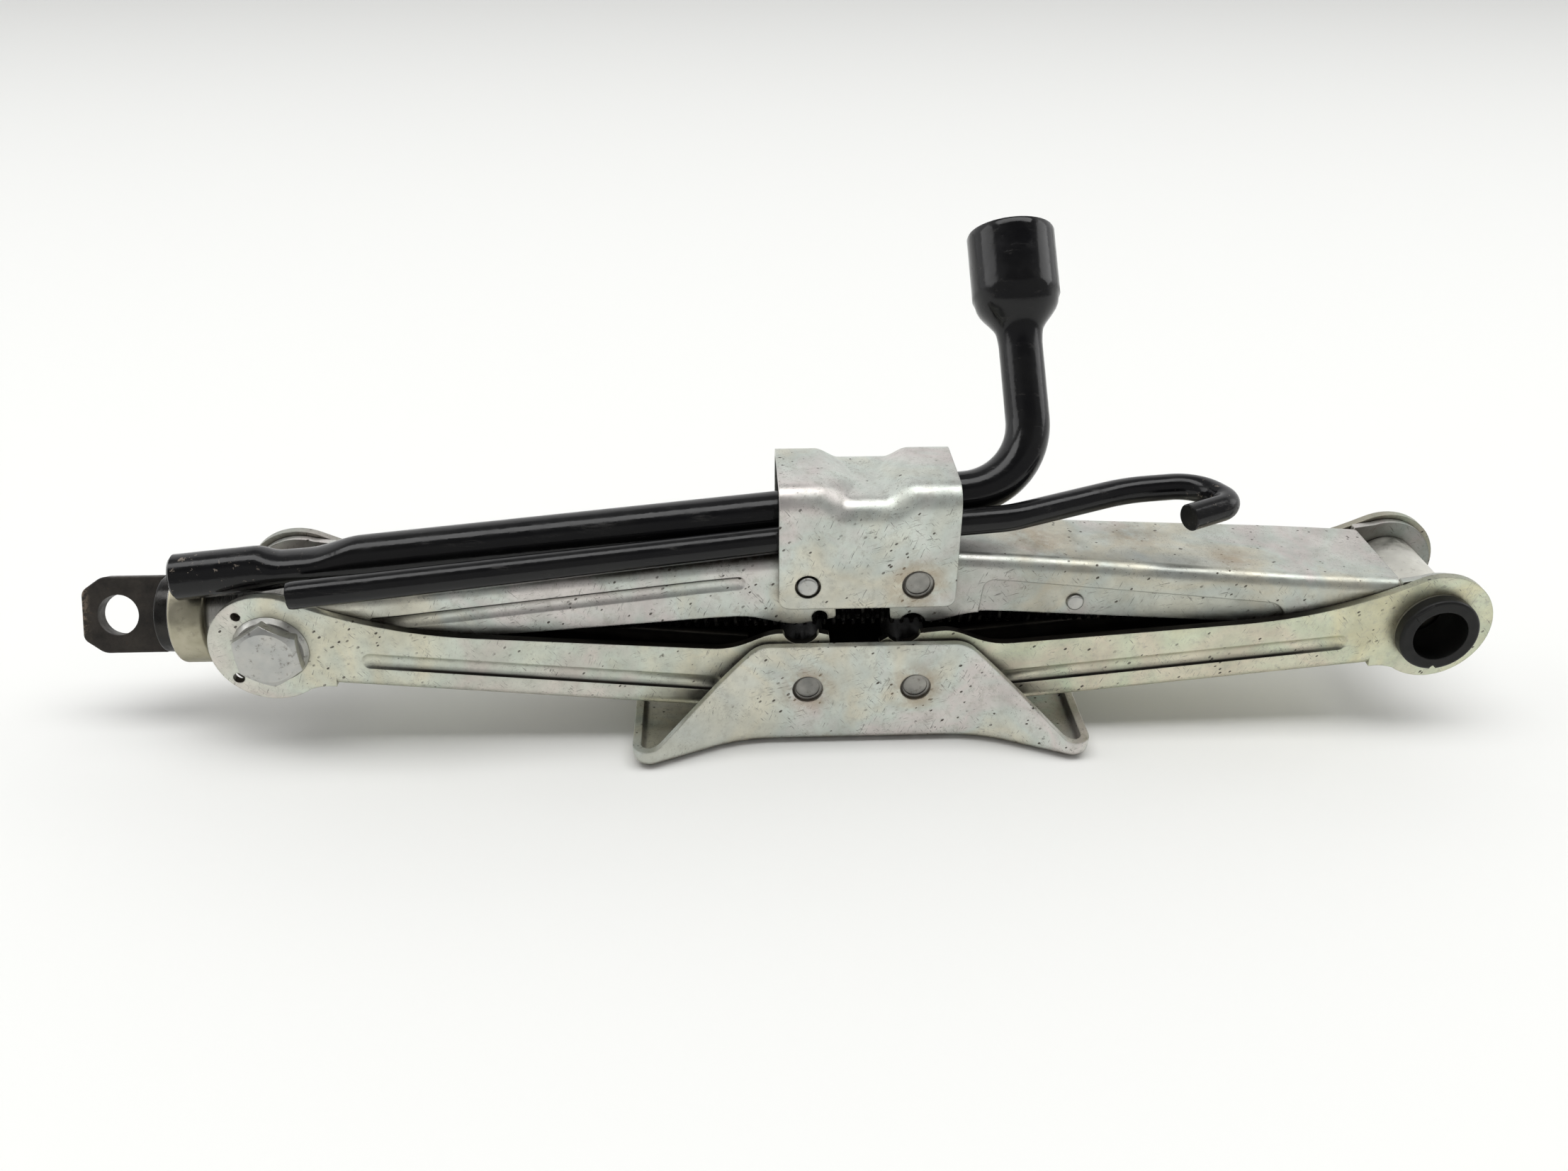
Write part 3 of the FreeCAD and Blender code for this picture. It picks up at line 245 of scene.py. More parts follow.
class Graph:
    """Short way to build one node material on object coordinates, which are the part's own metres."""

    def __init__(self, name):
        self.material = bpy.data.materials.new(name)
        self.material.use_nodes = True
        self.tree = self.material.node_tree
        self.shader = self.tree.nodes["Principled BSDF"]
        self.place = self.tree.nodes.new("ShaderNodeTexCoord").outputs["Object"]

    def node(self, kind, **settings):
        made = self.tree.nodes.new(kind)
        for key, value in settings.items():
            setattr(made, key, value)
        return made

    def link(self, source, target):
        self.tree.links.new(source, target)

    def stretched(self, scale, turn=(0.0, 0.0, 0.0)):
        """Coordinates turned first and then stretched along the turned axes."""
        turned = self.node("ShaderNodeMapping")
        turned.inputs["Rotation"].default_value = turn
        self.link(self.place, turned.inputs["Vector"])
        mapping = self.node("ShaderNodeMapping")
        mapping.inputs["Scale"].default_value = scale
        self.link(turned.outputs["Vector"], mapping.inputs["Vector"])
        return mapping.outputs["Vector"]

    def noise(self, scale, detail=3.0, rough=0.55, place=None, distort=0.0):
        texture = self.node("ShaderNodeTexNoise")
        texture.inputs["Scale"].default_value = scale
        texture.inputs["Detail"].default_value = detail
        texture.inputs["Roughness"].default_value = rough
        texture.inputs["Distortion"].default_value = distort
        self.link(place or self.place, texture.inputs["Vector"])
        return texture.outputs["Fac"]

    def band(self, value, low, high, out_low=0.0, out_high=1.0):
        ranged = self.node("ShaderNodeMapRange", interpolation_type="SMOOTHSTEP")
        ranged.inputs["From Min"].default_value = low
        ranged.inputs["From Max"].default_value = high
        ranged.inputs["To Min"].default_value = out_low
        ranged.inputs["To Max"].default_value = out_high
        self.link(value, ranged.inputs["Value"])
        return ranged.outputs["Result"]

    def ramp(self, value, stops):
        ramp = self.node("ShaderNodeValToRGB")
        elements = ramp.color_ramp.elements
        while len(elements) < len(stops):
            elements.new(0.5)
        for element, (position, colour) in zip(elements, stops):
            element.position = position
            element.color = (*colour, 1.0)
        self.link(value, ramp.inputs["Fac"])
        return ramp.outputs["Color"]

    def mix(self, factor, a, b, blend="MIX"):
        mixer = self.node("ShaderNodeMix", data_type="RGBA", blend_type=blend)
        for socket, value in ((mixer.inputs[6], a), (mixer.inputs[7], b)):
            if isinstance(value, tuple):
                socket.default_value = (*value, 1.0)
            else:
                self.link(value, socket)
        if isinstance(factor, float):
            mixer.inputs[0].default_value = factor
        else:
            self.link(factor, mixer.inputs[0])
        return mixer.outputs[2]

    def maths(self, operation, a, b):
        node = self.node("ShaderNodeMath", operation=operation)
        for socket, value in ((node.inputs[0], a), (node.inputs[1], b)):
            if isinstance(value, float):
                socket.default_value = value
            else:
                self.link(value, socket)
        return node.outputs[0]

    def occlusion(self, reach):
        """0 in tight corners, 1 in the open."""
        node = self.node("ShaderNodeAmbientOcclusion", samples=6)
        node.inputs["Distance"].default_value = reach
        return node.outputs["AO"]

    def normal_axis(self, name):
        split = self.node("ShaderNodeSeparateXYZ")
        self.link(self.tree.nodes.new("ShaderNodeTexCoord").outputs["Normal"], split.inputs[0])
        return split.outputs[name]

    def near(self, point, inner, outer):
        """1 within the inner distance of a point, fading to 0 at the outer one, all in mm."""
        gap = self.node("ShaderNodeVectorMath", operation="DISTANCE")
        self.link(self.place, gap.inputs[0])
        gap.inputs[1].default_value = tuple(value * MM for value in point)
        return self.band(gap.outputs["Value"], inner * MM, outer * MM, 1.0, 0.0)

    def product(self, *values):
        result = values[0]
        for value in values[1:]:
            result = self.maths("MULTIPLY", result, value)
        return result

    def axis(self, name):
        split = self.node("ShaderNodeSeparateXYZ")
        self.link(self.place, split.inputs[0])
        return split.outputs[name]

    def bump(self, height, distance, strength=1.0, rounded=0.0):
        """Surface relief, over edges rounded by that radius in metres."""
        bump = self.node("ShaderNodeBump")
        bump.inputs["Distance"].default_value = distance
        bump.inputs["Strength"].default_value = strength
        self.link(height, bump.inputs["Height"])
        if rounded:
            bevel = self.node("ShaderNodeBevel", samples=4)
            bevel.inputs["Radius"].default_value = rounded
            self.link(bevel.outputs["Normal"], bump.inputs["Normal"])
        self.link(bump.outputs["Normal"], self.shader.inputs["Normal"])

    def set(self, **values):
        for key, value in values.items():
            socket = self.shader.inputs[key.replace("_", " ")]
            if isinstance(value, (float, int)):
                socket.default_value = value
            else:
                self.link(value, socket)
        return self.material


def scratches(g, strength):
    """Fine dark scratches in three directions, in patches."""
    total = 0.0
    for index, turn in enumerate((0.3, 1.2, 2.3)):
        lines = g.noise(1.0, 3.0, 0.6, g.stretched((260.0, 2900.0, 2900.0), (0.0, turn, 0.0)), 0.4)
        patch = g.noise(75.0 + 25.0 * index, 3.0, 0.65)
        mark = g.product(g.band(lines, 0.625, 0.67), g.band(patch, 0.46, 0.58))
        total = g.maths("MAXIMUM", mark, total)
    return g.maths("MULTIPLY", total, strength)


def specks(g, size, density, reach, strength):
    """Small dark pits and dashes: cells of that size, of which the given share has a mark."""
    cells = g.node("ShaderNodeTexVoronoi", feature="F1")
    cells.inputs["Scale"].default_value = 1.0 / (size * MM)
    g.link(g.stretched((0.6, 1.0, 1.0), (0.0, 0.7, 0.0)), cells.inputs["Vector"])
    chosen = g.node("ShaderNodeSeparateXYZ")
    g.link(cells.outputs["Color"], chosen.inputs[0])
    pick = g.band(chosen.outputs["X"], density - 0.01, density, 1.0, 0.0)
    wobble = g.maths("ADD", cells.outputs["Distance"], g.maths("MULTIPLY", g.noise(1800.0, 2.0), 0.12))
    dot = g.band(wobble, reach, reach + 0.05, 1.0, 0.0)
    return g.maths("MULTIPLY", g.maths("MULTIPLY", pick, dot), strength)


def plate_tint(g, tone):
    """Clouded plate colour, faintly yellow, green and pink."""
    tint = g.ramp(g.noise(26.0, 3.0, 0.6, distort=0.6), [
        (0.28, (0.575, 0.605, 0.570)),
        (0.40, (0.645, 0.625, 0.525)),
        (0.50, (0.590, 0.628, 0.580)),
        (0.60, (0.640, 0.600, 0.575)),
        (0.72, (0.560, 0.620, 0.570)),
    ])
    cloud = g.band(g.noise(48.0, 7.0, 0.72), 0.30, 0.70, 0.84, 1.12)
    shade = g.node("ShaderNodeCombineColor")
    for channel in ("Red", "Green", "Blue"):
        g.link(cloud, shade.inputs[channel])
    colour = g.mix(1.0, tint, shade.outputs["Color"], "MULTIPLY")
    return g.mix(1.0, colour, tone, "MULTIPLY")


def plate_wear(g, colour):
    """Mottling, scratches and pits, and painted shade in the corners."""
    mottle = g.band(g.noise(420.0, 4.0, 0.75), 0.50, 0.68, 0.0, 0.42)
    colour = g.mix(mottle, colour, (0.40, 0.39, 0.34))
    colour = g.mix(scratches(g, 0.75), colour, (0.13, 0.125, 0.115))
    colour = g.mix(specks(g, 3.2, 0.34, 0.13, 0.9), colour, (0.07, 0.06, 0.05))
    cluster = g.band(g.noise(55.0, 3.0, 0.6), 0.50, 0.60)
    pits = g.product(specks(g, 1.7, 0.55, 0.24, 0.95), cluster)
    colour = g.mix(pits, colour, (0.08, 0.07, 0.06))
    colour = g.mix(specks(g, 8.0, 0.30, 0.10, 0.85), colour, (0.09, 0.075, 0.06))
    # painted shade: brownish darkening where the occlusion node finds nearby surfaces, made patchy by noise
    corner = g.band(g.occlusion(0.004), 0.35, 0.80, 1.0, 0.0)
    corner = g.product(corner, g.band(g.noise(260.0, 4.0, 0.7), 0.30, 0.58, 0.35, 1.0))
    return g.mix(g.maths("MULTIPLY", corner, 0.85), colour, (0.16, 0.13, 0.10))


def plate_stains(g, colour, stains):
    for point, inner, outer in stains:
        stain = g.product(g.near(point, inner, outer), g.band(g.noise(170.0, 4.0, 0.7), 0.30, 0.60))
        colour = g.mix(g.maths("MULTIPLY", stain, 0.6), colour, (0.36, 0.27, 0.18))
    return colour


def plate_grease_and_shade(g, colour, web_up):
    """Black grease and painted shade on the faces that look into a channel, thinner towards its far end."""
    inward = g.maths("MULTIPLY", g.axis("Y"), g.normal_axis("Y"))
    inside = g.band(inward, -0.005, -0.003, 1.0, 0.0)
    if web_up:
        web = g.maths("MULTIPLY", g.normal_axis("Z"), web_up)
        inside = g.maths("MAXIMUM", inside, g.band(web, 0.4, 0.6))
    reach = g.band(g.maths("ABSOLUTE", g.axis("X"), 0.0), 0.125, 0.160, 1.0, 0.45)
    grease = g.ramp(g.noise(130.0, 4.0), [(0.3, (0.008, 0.008, 0.007)), (0.8, (0.035, 0.030, 0.024))])
    # painted shade and grease: near-black over the faces that look into the channel
    return g.mix(g.maths("MULTIPLY", inside, reach), colour, grease)


def zinc_plate(name, stains=(), web_up=0.0, grease_and_shade=False, tone=(1.0, 1.0, 1.0)):
    """Zinc-plated pressed sheet: satin, clouded, scratched and specked, with painted shade in its corners
    and, when asked, black grease and painted shade inside its channel.
    Stains are (point, inner, outer) in mm; web_up is the side that a channel's inside web faces;
    tone is the sheet's own tint over the common one."""
    g = Graph(name)
    colour = plate_stains(g, plate_wear(g, plate_tint(g, tone)), stains)
    # painted shade and black grease inside the channel
    if grease_and_shade:
        colour = plate_grease_and_shade(g, colour, web_up)
    rough = g.band(g.noise(110.0, 4.0, 0.7), 0.3, 0.7, 0.33, 0.50)
    height = g.maths("ADD", g.noise(1400.0, 3.0, 0.6), g.maths("MULTIPLY", g.noise(60.0, 2.0, 0.5), 7.0))
    g.bump(height, 0.00004, 0.5, rounded=0.0006)
    return g.set(Base_Color=colour, Metallic=0.92, Roughness=rough)


def plated_fastener(name, colour_a, colour_b, grime=0.8, shadow_rims=()):
    """Plated or bare fastener steel, with painted shade in its corners; each rim given is a (point, radius)
    in mm of a sunk end, with a painted shadow crescent along its upper left edge.
    """
    g = Graph(name)
    tint = g.ramp(g.noise(120.0, 3.0), [(0.3, colour_a), (0.7, colour_b)])
    dark = g.band(g.noise(430.0, 5.0, 0.75), 0.55, 0.70, 0.0, grime)
    colour = g.mix(dark, tint, (0.16, 0.14, 0.12))
    # painted shade: darker where the occlusion node finds nearby surfaces
    corner = g.band(g.occlusion(0.005), 0.30, 0.85, 0.9, 0.0)
    colour = g.mix(corner, colour, (0.08, 0.07, 0.06))
    # painted shadow: a dark crescent along the upper left edge of each sunk end, where the hole's rim would
    # cast shade
    for point, radius in shadow_rims:
        x, y, z = point
        within = g.near(point, radius + 1.0, radius + 1.5)
        open_part = g.near((x + RIM_SHADOW_SHIFT, y, z - RIM_SHADOW_SHIFT), radius - 0.5, radius)
        edge = g.product(within, g.maths("SUBTRACT", 1.0, open_part))
        colour = g.mix(g.maths("MULTIPLY", edge, 0.9), colour, (0.04, 0.035, 0.03))
    rough = g.band(g.noise(300.0, 3.0), 0.3, 0.7, 0.28, 0.48)
    g.bump(g.noise(900.0, 3.0), 0.00008, 0.6, rounded=0.0003)
    return g.set(Base_Color=colour, Metallic=0.95, Roughness=rough)


def turned_steel(name, colour_a, colour_b, axis_scale):
    """Machined steel: fine rings across its axis, a film of oil, and painted shade in its corners."""
    g = Graph(name)
    tint = g.ramp(g.noise(90.0, 4.0), [(0.3, colour_a), (0.7, colour_b)])
    rings = g.noise(1.0, 3.0, 0.7, g.stretched(axis_scale))
    rough = g.band(rings, 0.3, 0.7, 0.22, 0.42)
    grime = g.band(g.noise(300.0, 4.0, 0.7), 0.57, 0.72, 0.0, 0.75)
    colour = g.mix(grime, tint, (0.12, 0.10, 0.08))
    # painted shade: darker where the occlusion node finds nearby surfaces
    corner = g.band(g.occlusion(0.005), 0.30, 0.85, 0.95, 0.0)
    colour = g.mix(corner, colour, (0.030, 0.026, 0.022))
    g.bump(rings, 0.00005, 0.4, rounded=0.0004)
    return g.set(Base_Color=colour, Metallic=0.95, Roughness=rough)


def cage_brass():
    g = Graph("cage_brass")
    tint = g.ramp(g.noise(200.0, 3.0), [(0.3, (0.50, 0.35, 0.13)), (0.7, (0.70, 0.53, 0.25))])
    return g.set(Base_Color=tint, Metallic=1.0, Roughness=g.band(g.noise(700.0), 0.3, 0.7, 0.25, 0.4))


def greased_thread():
    """Dark screw with wet grease in its roots and thin worn crests."""
    g = Graph("greased_thread")
    across = g.maths("SUBTRACT", g.axis("Z"), SCREW_Z * MM)
    side = g.axis("Y")
    squares = g.maths("ADD", g.maths("MULTIPLY", across, across), g.maths("MULTIPLY", side, side))
    radius = g.maths("SQRT", squares, 0.0)
    crest = g.product(g.band(radius, 0.0067, 0.0069), g.band(radius, 0.0071, 0.0073, 1.0, 0.0))
    worn = g.product(crest, g.band(g.noise(260.0, 3.0), 0.48, 0.68, 0.0, 0.8))
    base = g.ramp(g.noise(150.0, 4.0), [(0.3, (0.008, 0.008, 0.008)), (0.75, (0.035, 0.032, 0.028))])
    colour = g.mix(worn, base, (0.22, 0.21, 0.19))
    rough = g.band(g.noise(260.0, 3.0), 0.35, 0.65, 0.18, 0.45)
    g.bump(g.noise(500.0, 3.0), 0.0001, 0.5)
    return g.set(Base_Color=colour, Metallic=0.6, Roughness=rough)


def dark_grease():
    """Old grease that hides the steel under it."""
    g = Graph("dark_grease")
    base = g.ramp(g.noise(150.0, 4.0), [(0.3, (0.006, 0.006, 0.006)), (0.8, (0.020, 0.018, 0.015))])
    g.bump(g.noise(400.0, 3.0), 0.0002, 0.6)
    rough = g.band(g.noise(200.0), 0.3, 0.7, 0.35, 0.6)
    return g.set(Base_Color=base, Roughness=rough, Specular_IOR_Level=0.3)


def black_oxide():
    """Black oxide plate, rubbed to brown in patches."""
    g = Graph("black_oxide")
    base = g.ramp(g.noise(140.0, 5.0, 0.7), [(0.3, (0.016, 0.014, 0.012)), (0.7, (0.052, 0.044, 0.036))])
    rust = g.band(g.noise(330.0, 5.0, 0.75), 0.60, 0.74, 0.0, 0.6)
    colour = g.mix(rust, base, (0.10, 0.060, 0.036))
    tip = g.band(g.axis("X"), -0.2325, -0.2300, 0.7, 0.0)
    tip = g.product(tip, g.band(g.noise(500.0, 4.0, 0.7), 0.45, 0.60))
    colour = g.mix(tip, colour, (0.26, 0.20, 0.15))
    rough = g.band(g.noise(330.0, 4.0), 0.3, 0.7, 0.40, 0.62)
    g.bump(g.noise(700.0, 5.0, 0.7), 0.00012, 0.8, rounded=0.0006)
    return g.set(Base_Color=colour, Metallic=0.4, Roughness=rough)


def black_paint():
    """Gloss black paint with slight orange peel, dull rub marks, and chips near the ends."""
    g = Graph("black_paint")
    rub = g.band(g.noise(1.0, 5.0, 0.7, g.stretched((60.0, 420.0, 420.0))), 0.56, 0.72, 0.0, 0.5)
    base = g.ramp(g.noise(60.0, 4.0), [(0.3, (0.003, 0.003, 0.004)), (0.8, (0.007, 0.007, 0.007))])
    colour = g.mix(rub, base, (0.030, 0.028, 0.026))
    place = g.band(g.axis("X"), -0.195, -0.150, 1.0, 0.0)
    hook = g.band(g.axis("X"), 0.090, 0.104, 0.0, 0.7)
    exposed = g.maths("MAXIMUM", place, hook)
    chips = g.product(g.band(g.noise(420.0, 4.0, 0.75), 0.63, 0.66), exposed)
    chips = g.maths("MAXIMUM", chips, specks(g, 9.0, 0.20, 0.05, 0.8))
    colour = g.mix(chips, colour, (0.17, 0.145, 0.12))
    rough = g.maths("ADD", g.band(g.noise(180.0, 4.0), 0.3, 0.7, 0.11, 0.22), g.maths("MULTIPLY", rub, 0.4))
    peel = g.noise(650.0, 2.0, 0.5)
    dents = g.noise(120.0, 2.0, 0.5)
    g.bump(g.maths("ADD", peel, g.maths("MULTIPLY", dents, 3.0)), 0.00005, 0.6)
    return g.set(Base_Color=colour, Metallic=0.0, Roughness=rough, Specular_IOR_Level=0.33)


def black_plastic():
    g = Graph("black_plastic")
    base = g.ramp(g.noise(180.0, 4.0), [(0.3, (0.005, 0.005, 0.005)), (0.8, (0.012, 0.012, 0.011))])
    dust = g.band(g.noise(700.0, 4.0, 0.8), 0.66, 0.76, 0.0, 0.5)
    colour = g.mix(dust, base, (0.13, 0.12, 0.11))
    rough = g.band(g.noise(240.0, 4.0), 0.3, 0.7, 0.32, 0.5)
    g.bump(g.noise(1500.0, 2.0), 0.00003, 0.6, rounded=0.0005)
    return g.set(Base_Color=colour, Roughness=rough, Specular_IOR_Level=0.25)


def make_materials():
    return {
        "zinc_steel": zinc_plate("zinc_plate", [((PIVOT_HALF, -SADDLE_HALF, SADDLE_PIVOT_Z), 5.0, 12.0)]),
        "plated_fasteners": plated_fastener("plated_fastener", (0.42, 0.43, 0.42), (0.56, 0.55, 0.51)),
        "bare_steel": turned_steel("turned_steel", (0.42, 0.42, 0.40), (0.60, 0.58, 0.53),
                                   (2500.0, 60.0, 60.0)),
        "bearing_steel": turned_steel("bearing_steel", (0.55, 0.55, 0.55), (0.70, 0.70, 0.69),
                                      (900.0, 90.0, 90.0)),
        "cage_brass": cage_brass(),
        "greased_screw": greased_thread(),
        "black_oxide": black_oxide(),
        "black_paint": black_paint(),
        "black_plastic": black_plastic(),
    }


def special_materials():
    """Finishes of the same slot that one or a few nodes need."""
    grease = dark_grease()
    foot_ends = [(side * PIVOT_HALF, FOOT_FACE_Y, FOOT_PIVOT_Z) for side in (-1, 1)]
    saddle_end = (PIVOT_HALF, -SADDLE_HALF, SADDLE_PIVOT_Z)
    # sunk rivet ends that get a painted shadow crescent at their upper left edge
    shadow_rims = [(point, RIVET_RIM_R) for point in foot_ends + [saddle_end]]
    rivet = plated_fastener("rivet_steel", (0.20, 0.20, 0.19), (0.38, 0.37, 0.34), shadow_rims=shadow_rims)
    foot_stains = [(point, 4.0, 11.0) for point in foot_ends]
    lower = zinc_plate("zinc_lower_arm", web_up=1.0, grease_and_shade=True, tone=(1.02, 1.02, 0.97))
    yellowed = zinc_plate("zinc_yellowed_arm", web_up=1.0, grease_and_shade=True, tone=(1.06, 1.05, 0.88))
    upper = zinc_plate("zinc_upper_arm", web_up=-1.0, grease_and_shade=True)
    rubbed = zinc_plate("zinc_rubbed_arm", RUBBED_WEB, web_up=-1.0, grease_and_shade=True, tone=(0.86, 0.86, 0.85))
    return {
        "foot": zinc_plate("zinc_foot", foot_stains, grease_and_shade=True),
        "lower_arm_left": lower,
        "lower_arm_right": yellowed,
        "upper_arm_left": upper,
        "upper_arm_right": rubbed,
        "foot_spacer_left": grease,
        "foot_spacer_right": grease,
        "trunnion_nut": plated_fastener("nut_zinc", (0.58, 0.57, 0.52), (0.68, 0.67, 0.60), 0.35),
        "foot_rivet_left": rivet,
        "foot_rivet_right": rivet,
        "saddle_rivet_right": rivet,
        "bearing_cup": plated_fastener("bearing_cup_zinc", (0.34, 0.32, 0.23), (0.46, 0.43, 0.33), 0.35),
    }


def dress_cad(materials):
    slots = {row["node"]: row["material_slot"] for row in frame["record"]["subparts"]}
    special = special_materials()
    for name, obj in nodes.items():
        obj.data.materials.clear()
        obj.data.materials.append(special.get(name, materials[slots[name]]))


# ---------------------------------------------------------------- meshes

def mesh_object(name, verts, faces, material, body):
    mesh = bpy.data.meshes.new(name)
    mesh.from_pydata([tuple(Vector(v) * MM) for v in verts], [], faces)
    mesh.validate()
    for polygon in mesh.polygons:
        polygon.use_smooth = True
    mesh.set_sharp_from_angle(angle=math.radians(SHARP_ANGLE))
    obj = bpy.data.objects.new(name, mesh)
    bpy.context.scene.collection.objects.link(obj)
    mesh.materials.append(material)
    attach(obj, body)
    return obj


def tube_faces(rings, steps):
    """Quads between successive rings of points, with a flat cap at each end."""
    faces = []
    for ring in range(rings - 1):
        for step in range(steps):
            after = (step + 1) % steps
            faces.append((ring * steps + step, (ring + 1) * steps + step,
                          (ring + 1) * steps + after, ring * steps + after))
    faces.append(tuple(range(steps)))
    faces.append(tuple(reversed(range((rings - 1) * steps, rings * steps))))
    return faces


def thread_depth(phase):
    """0 on the crest, 1 in the root, over one pitch."""
    distance = abs(phase - 0.5)
    return min(1.0, max(0.0, (THREAD_ROOT_WIDTH - distance) / THREAD_FLANK))


def screw_mesh(materials):
    low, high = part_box("lead_screw")
    start, end = low.x / MM, high.x / MM
    centre = (low.z + high.z) / 2 / MM
    thread_end = end - THREAD_PITCH
    places = [start, start + SCREW_LIP]
    count = int((thread_end - THREAD_START) / THREAD_STEP)
    places += [THREAD_START + THREAD_STEP * step for step in range(count + 1)]
    places += [end - SCREW_CHAMFER, end]
    verts = []
    for x in places:
        threaded = THREAD_START < x < thread_end
        for step in range(THREAD_TURN_STEPS):
            turn = 2 * math.pi * step / THREAD_TURN_STEPS
            radius = THREAD_R
            if threaded:
                fade = min(1.0, (x - THREAD_START) / (2 * THREAD_PITCH))
                phase = (x / THREAD_PITCH - step / THREAD_TURN_STEPS) % 1.0
                radius -= fade * (THREAD_R - THREAD_ROOT_R) * thread_depth(phase)
            elif x >= thread_end:
                radius = THREAD_ROOT_R
            verts.append((x, radius * math.cos(turn), centre + radius * math.sin(turn)))
    faces = tube_faces(len(places), THREAD_TURN_STEPS)
    screw = mesh_object("screw_thread", verts, faces, materials["greased_screw"], "screw")
    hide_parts("lead_screw")


def smooth_step(value):
    value = min(1.0, max(0.0, value))
    return value * value * (3.0 - 2.0 * value)


def profile_value(profile, at):
    """Value at a place along (place, value) pairs, eased between them."""
    for (start, low), (end, high) in zip(profile, profile[1:]):
        if at <= end:
            return low + (high - low) * smooth_step((at - start) / (end - start))
    return profile[-1][1]


def bent_path(points, radii):
    """(point, tangent) stations along straight runs joined by arcs of the given radii."""
    points = [Vector(point) for point in points]
    stations = []
    start = points[0]
    for index in range(1, len(points)):
        here = points[index]
        ahead = (here - start).normalized()
        if index == len(points) - 1:
            run_end, arc = here, []
        else:
            leaving = (points[index + 1] - here).normalized()
            turn = ahead.angle(leaving)
            radius = radii[index - 1]
            reach = radius * math.tan(turn / 2)
            run_end = here - ahead * reach
            inward = (leaving - ahead * math.cos(turn)).normalized()
            arc = []
            count = max(3, int(turn / ARC_STEP))
            for step in range(1, count + 1):
                angle = turn * step / count
                place = run_end + ahead * radius * math.sin(angle) + inward * radius * (1 - math.cos(angle))
                arc.append((place, ahead * math.cos(angle) + inward * math.sin(angle)))
        length = (run_end - start).length
        count = max(1, int(length / PATH_STEP))
        first = 0 if index == 1 else 1
        for step in range(first, count + 1):
            stations.append((start + ahead * length * step / count, ahead))
        stations += arc
        start = arc[-1][0] if arc else here
    return stations


def ring(place, tangent, outline):
    """One ring of points round a path; outline gives (upwards, sideways) at each angle."""
    up = Vector((0, 0, 1))
    up = (up - tangent * up.dot(tangent)).normalized()
    side = tangent.cross(up)
    verts = []
    for step in range(TUBE_STEPS):
        rise, spread = outline(2 * math.pi * step / TUBE_STEPS)
        verts.append(place + up * rise + side * spread)
    return verts


def circle(radius):
    return lambda angle: (radius * math.cos(angle), radius * math.sin(angle))


def pinched(radius, squeeze):
    """A tube pressed in from above by the squeeze, and slightly from below and the sides."""
    def outline(angle):
        rise = radius * math.cos(angle)
        rise -= squeeze * max(0.0, math.cos(angle)) + PINCH_BELOW * squeeze * min(0.0, math.cos(angle))
        return rise, (radius - PINCH_SIDES * squeeze) * math.sin(angle)
    return outline


def hexagon(half):
    sector = math.pi / 3

    def outline(angle):
        radius = half / math.cos((angle + sector / 2) % sector - sector / 2)
        return radius * math.cos(angle), radius * math.sin(angle)
    return outline


def tube_object(name, rings, material, body, node):
    verts = [vert for points in rings for vert in points]
    obj = mesh_object(name, verts, tube_faces(len(rings), TUBE_STEPS), material, body)
    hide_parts(node)


def wrench_mesh(materials):
    left = Vector(WRENCH_LEFT)
    run = WRENCH_CORNER_X - WRENCH_LEFT[0]
    corner = left + Vector((run, WRENCH_SLOPE * run, WRENCH_SLOPE * run))
    upright = Vector(WRENCH_UPRIGHT).normalized()
    tip = corner + upright * WRENCH_LENGTH
    along = (corner - left).normalized()
    rings = [ring(left, along, circle(WRENCH_R - TUBE_BORE_EDGE))]
    rings.append(ring(left + along * TUBE_EDGE / 2, along, circle(WRENCH_R - TUBE_EDGE)))
    for place, tangent in bent_path((left + along, corner, tip - upright), (WRENCH_BEND_R,)):
        if tangent.dot(upright) > UPRIGHT_COSINE:
            radius = profile_value(WRENCH_SOCKET_PROFILE, (place - corner).dot(upright))
            rings.append(ring(place, tangent, circle(radius)))
        else:
            radius = profile_value(WRENCH_LEFT_PROFILE, place.x)
            squeeze = profile_value(WRENCH_PINCH, max(place.x, WRENCH_PINCH[0][0]))
            rings.append(ring(place, tangent, pinched(radius, squeeze)))
    rings.append(ring(tip - upright * 0.2, upright, circle(SOCKET_RIM_R + SOCKET_LIP)))
    rings.append(ring(tip, upright, circle(SOCKET_RIM_R)))
    rings.append(ring(tip, upright, circle(SOCKET_HEX_HALF * 2 / math.sqrt(3) + 0.6)))
    rings.append(ring(tip - upright * SOCKET_LEAD_IN, upright, hexagon(SOCKET_HEX_HALF)))
    rings.append(ring(tip - upright * SOCKET_DEPTH, upright, hexagon(SOCKET_HEX_HALF)))
    tube_object("wrench_tube", rings, materials["black_paint"], "wrench", "wheel_wrench")


def rod_mesh(materials):
    points = [ROD_LEFT]
    for x, y in ROD_CORNERS:
        points.append((x, y, ROD_LEFT[2] + ROD_SLOPE_Z * (x - ROD_LEFT[0])))
    stations = bent_path(points, ROD_BEND_RADII)
    place, tangent = stations[0]
    rings = [ring(place + tangent * along, tangent, circle(ROD_R - less)) for along, less in ROD_END]
    for place, tangent in stations[1:-1]:
        rings.append(ring(place, tangent, circle(ROD_R)))
    place, tangent = stations[-1]
    rings.append(ring(place - tangent * HOOK_EDGE, tangent, circle(ROD_R)))
    rings.append(ring(place, tangent, circle(ROD_R - HOOK_EDGE)))
    tube_object("rod_bar", rings, materials["black_paint"], "rod", "crank_rod")


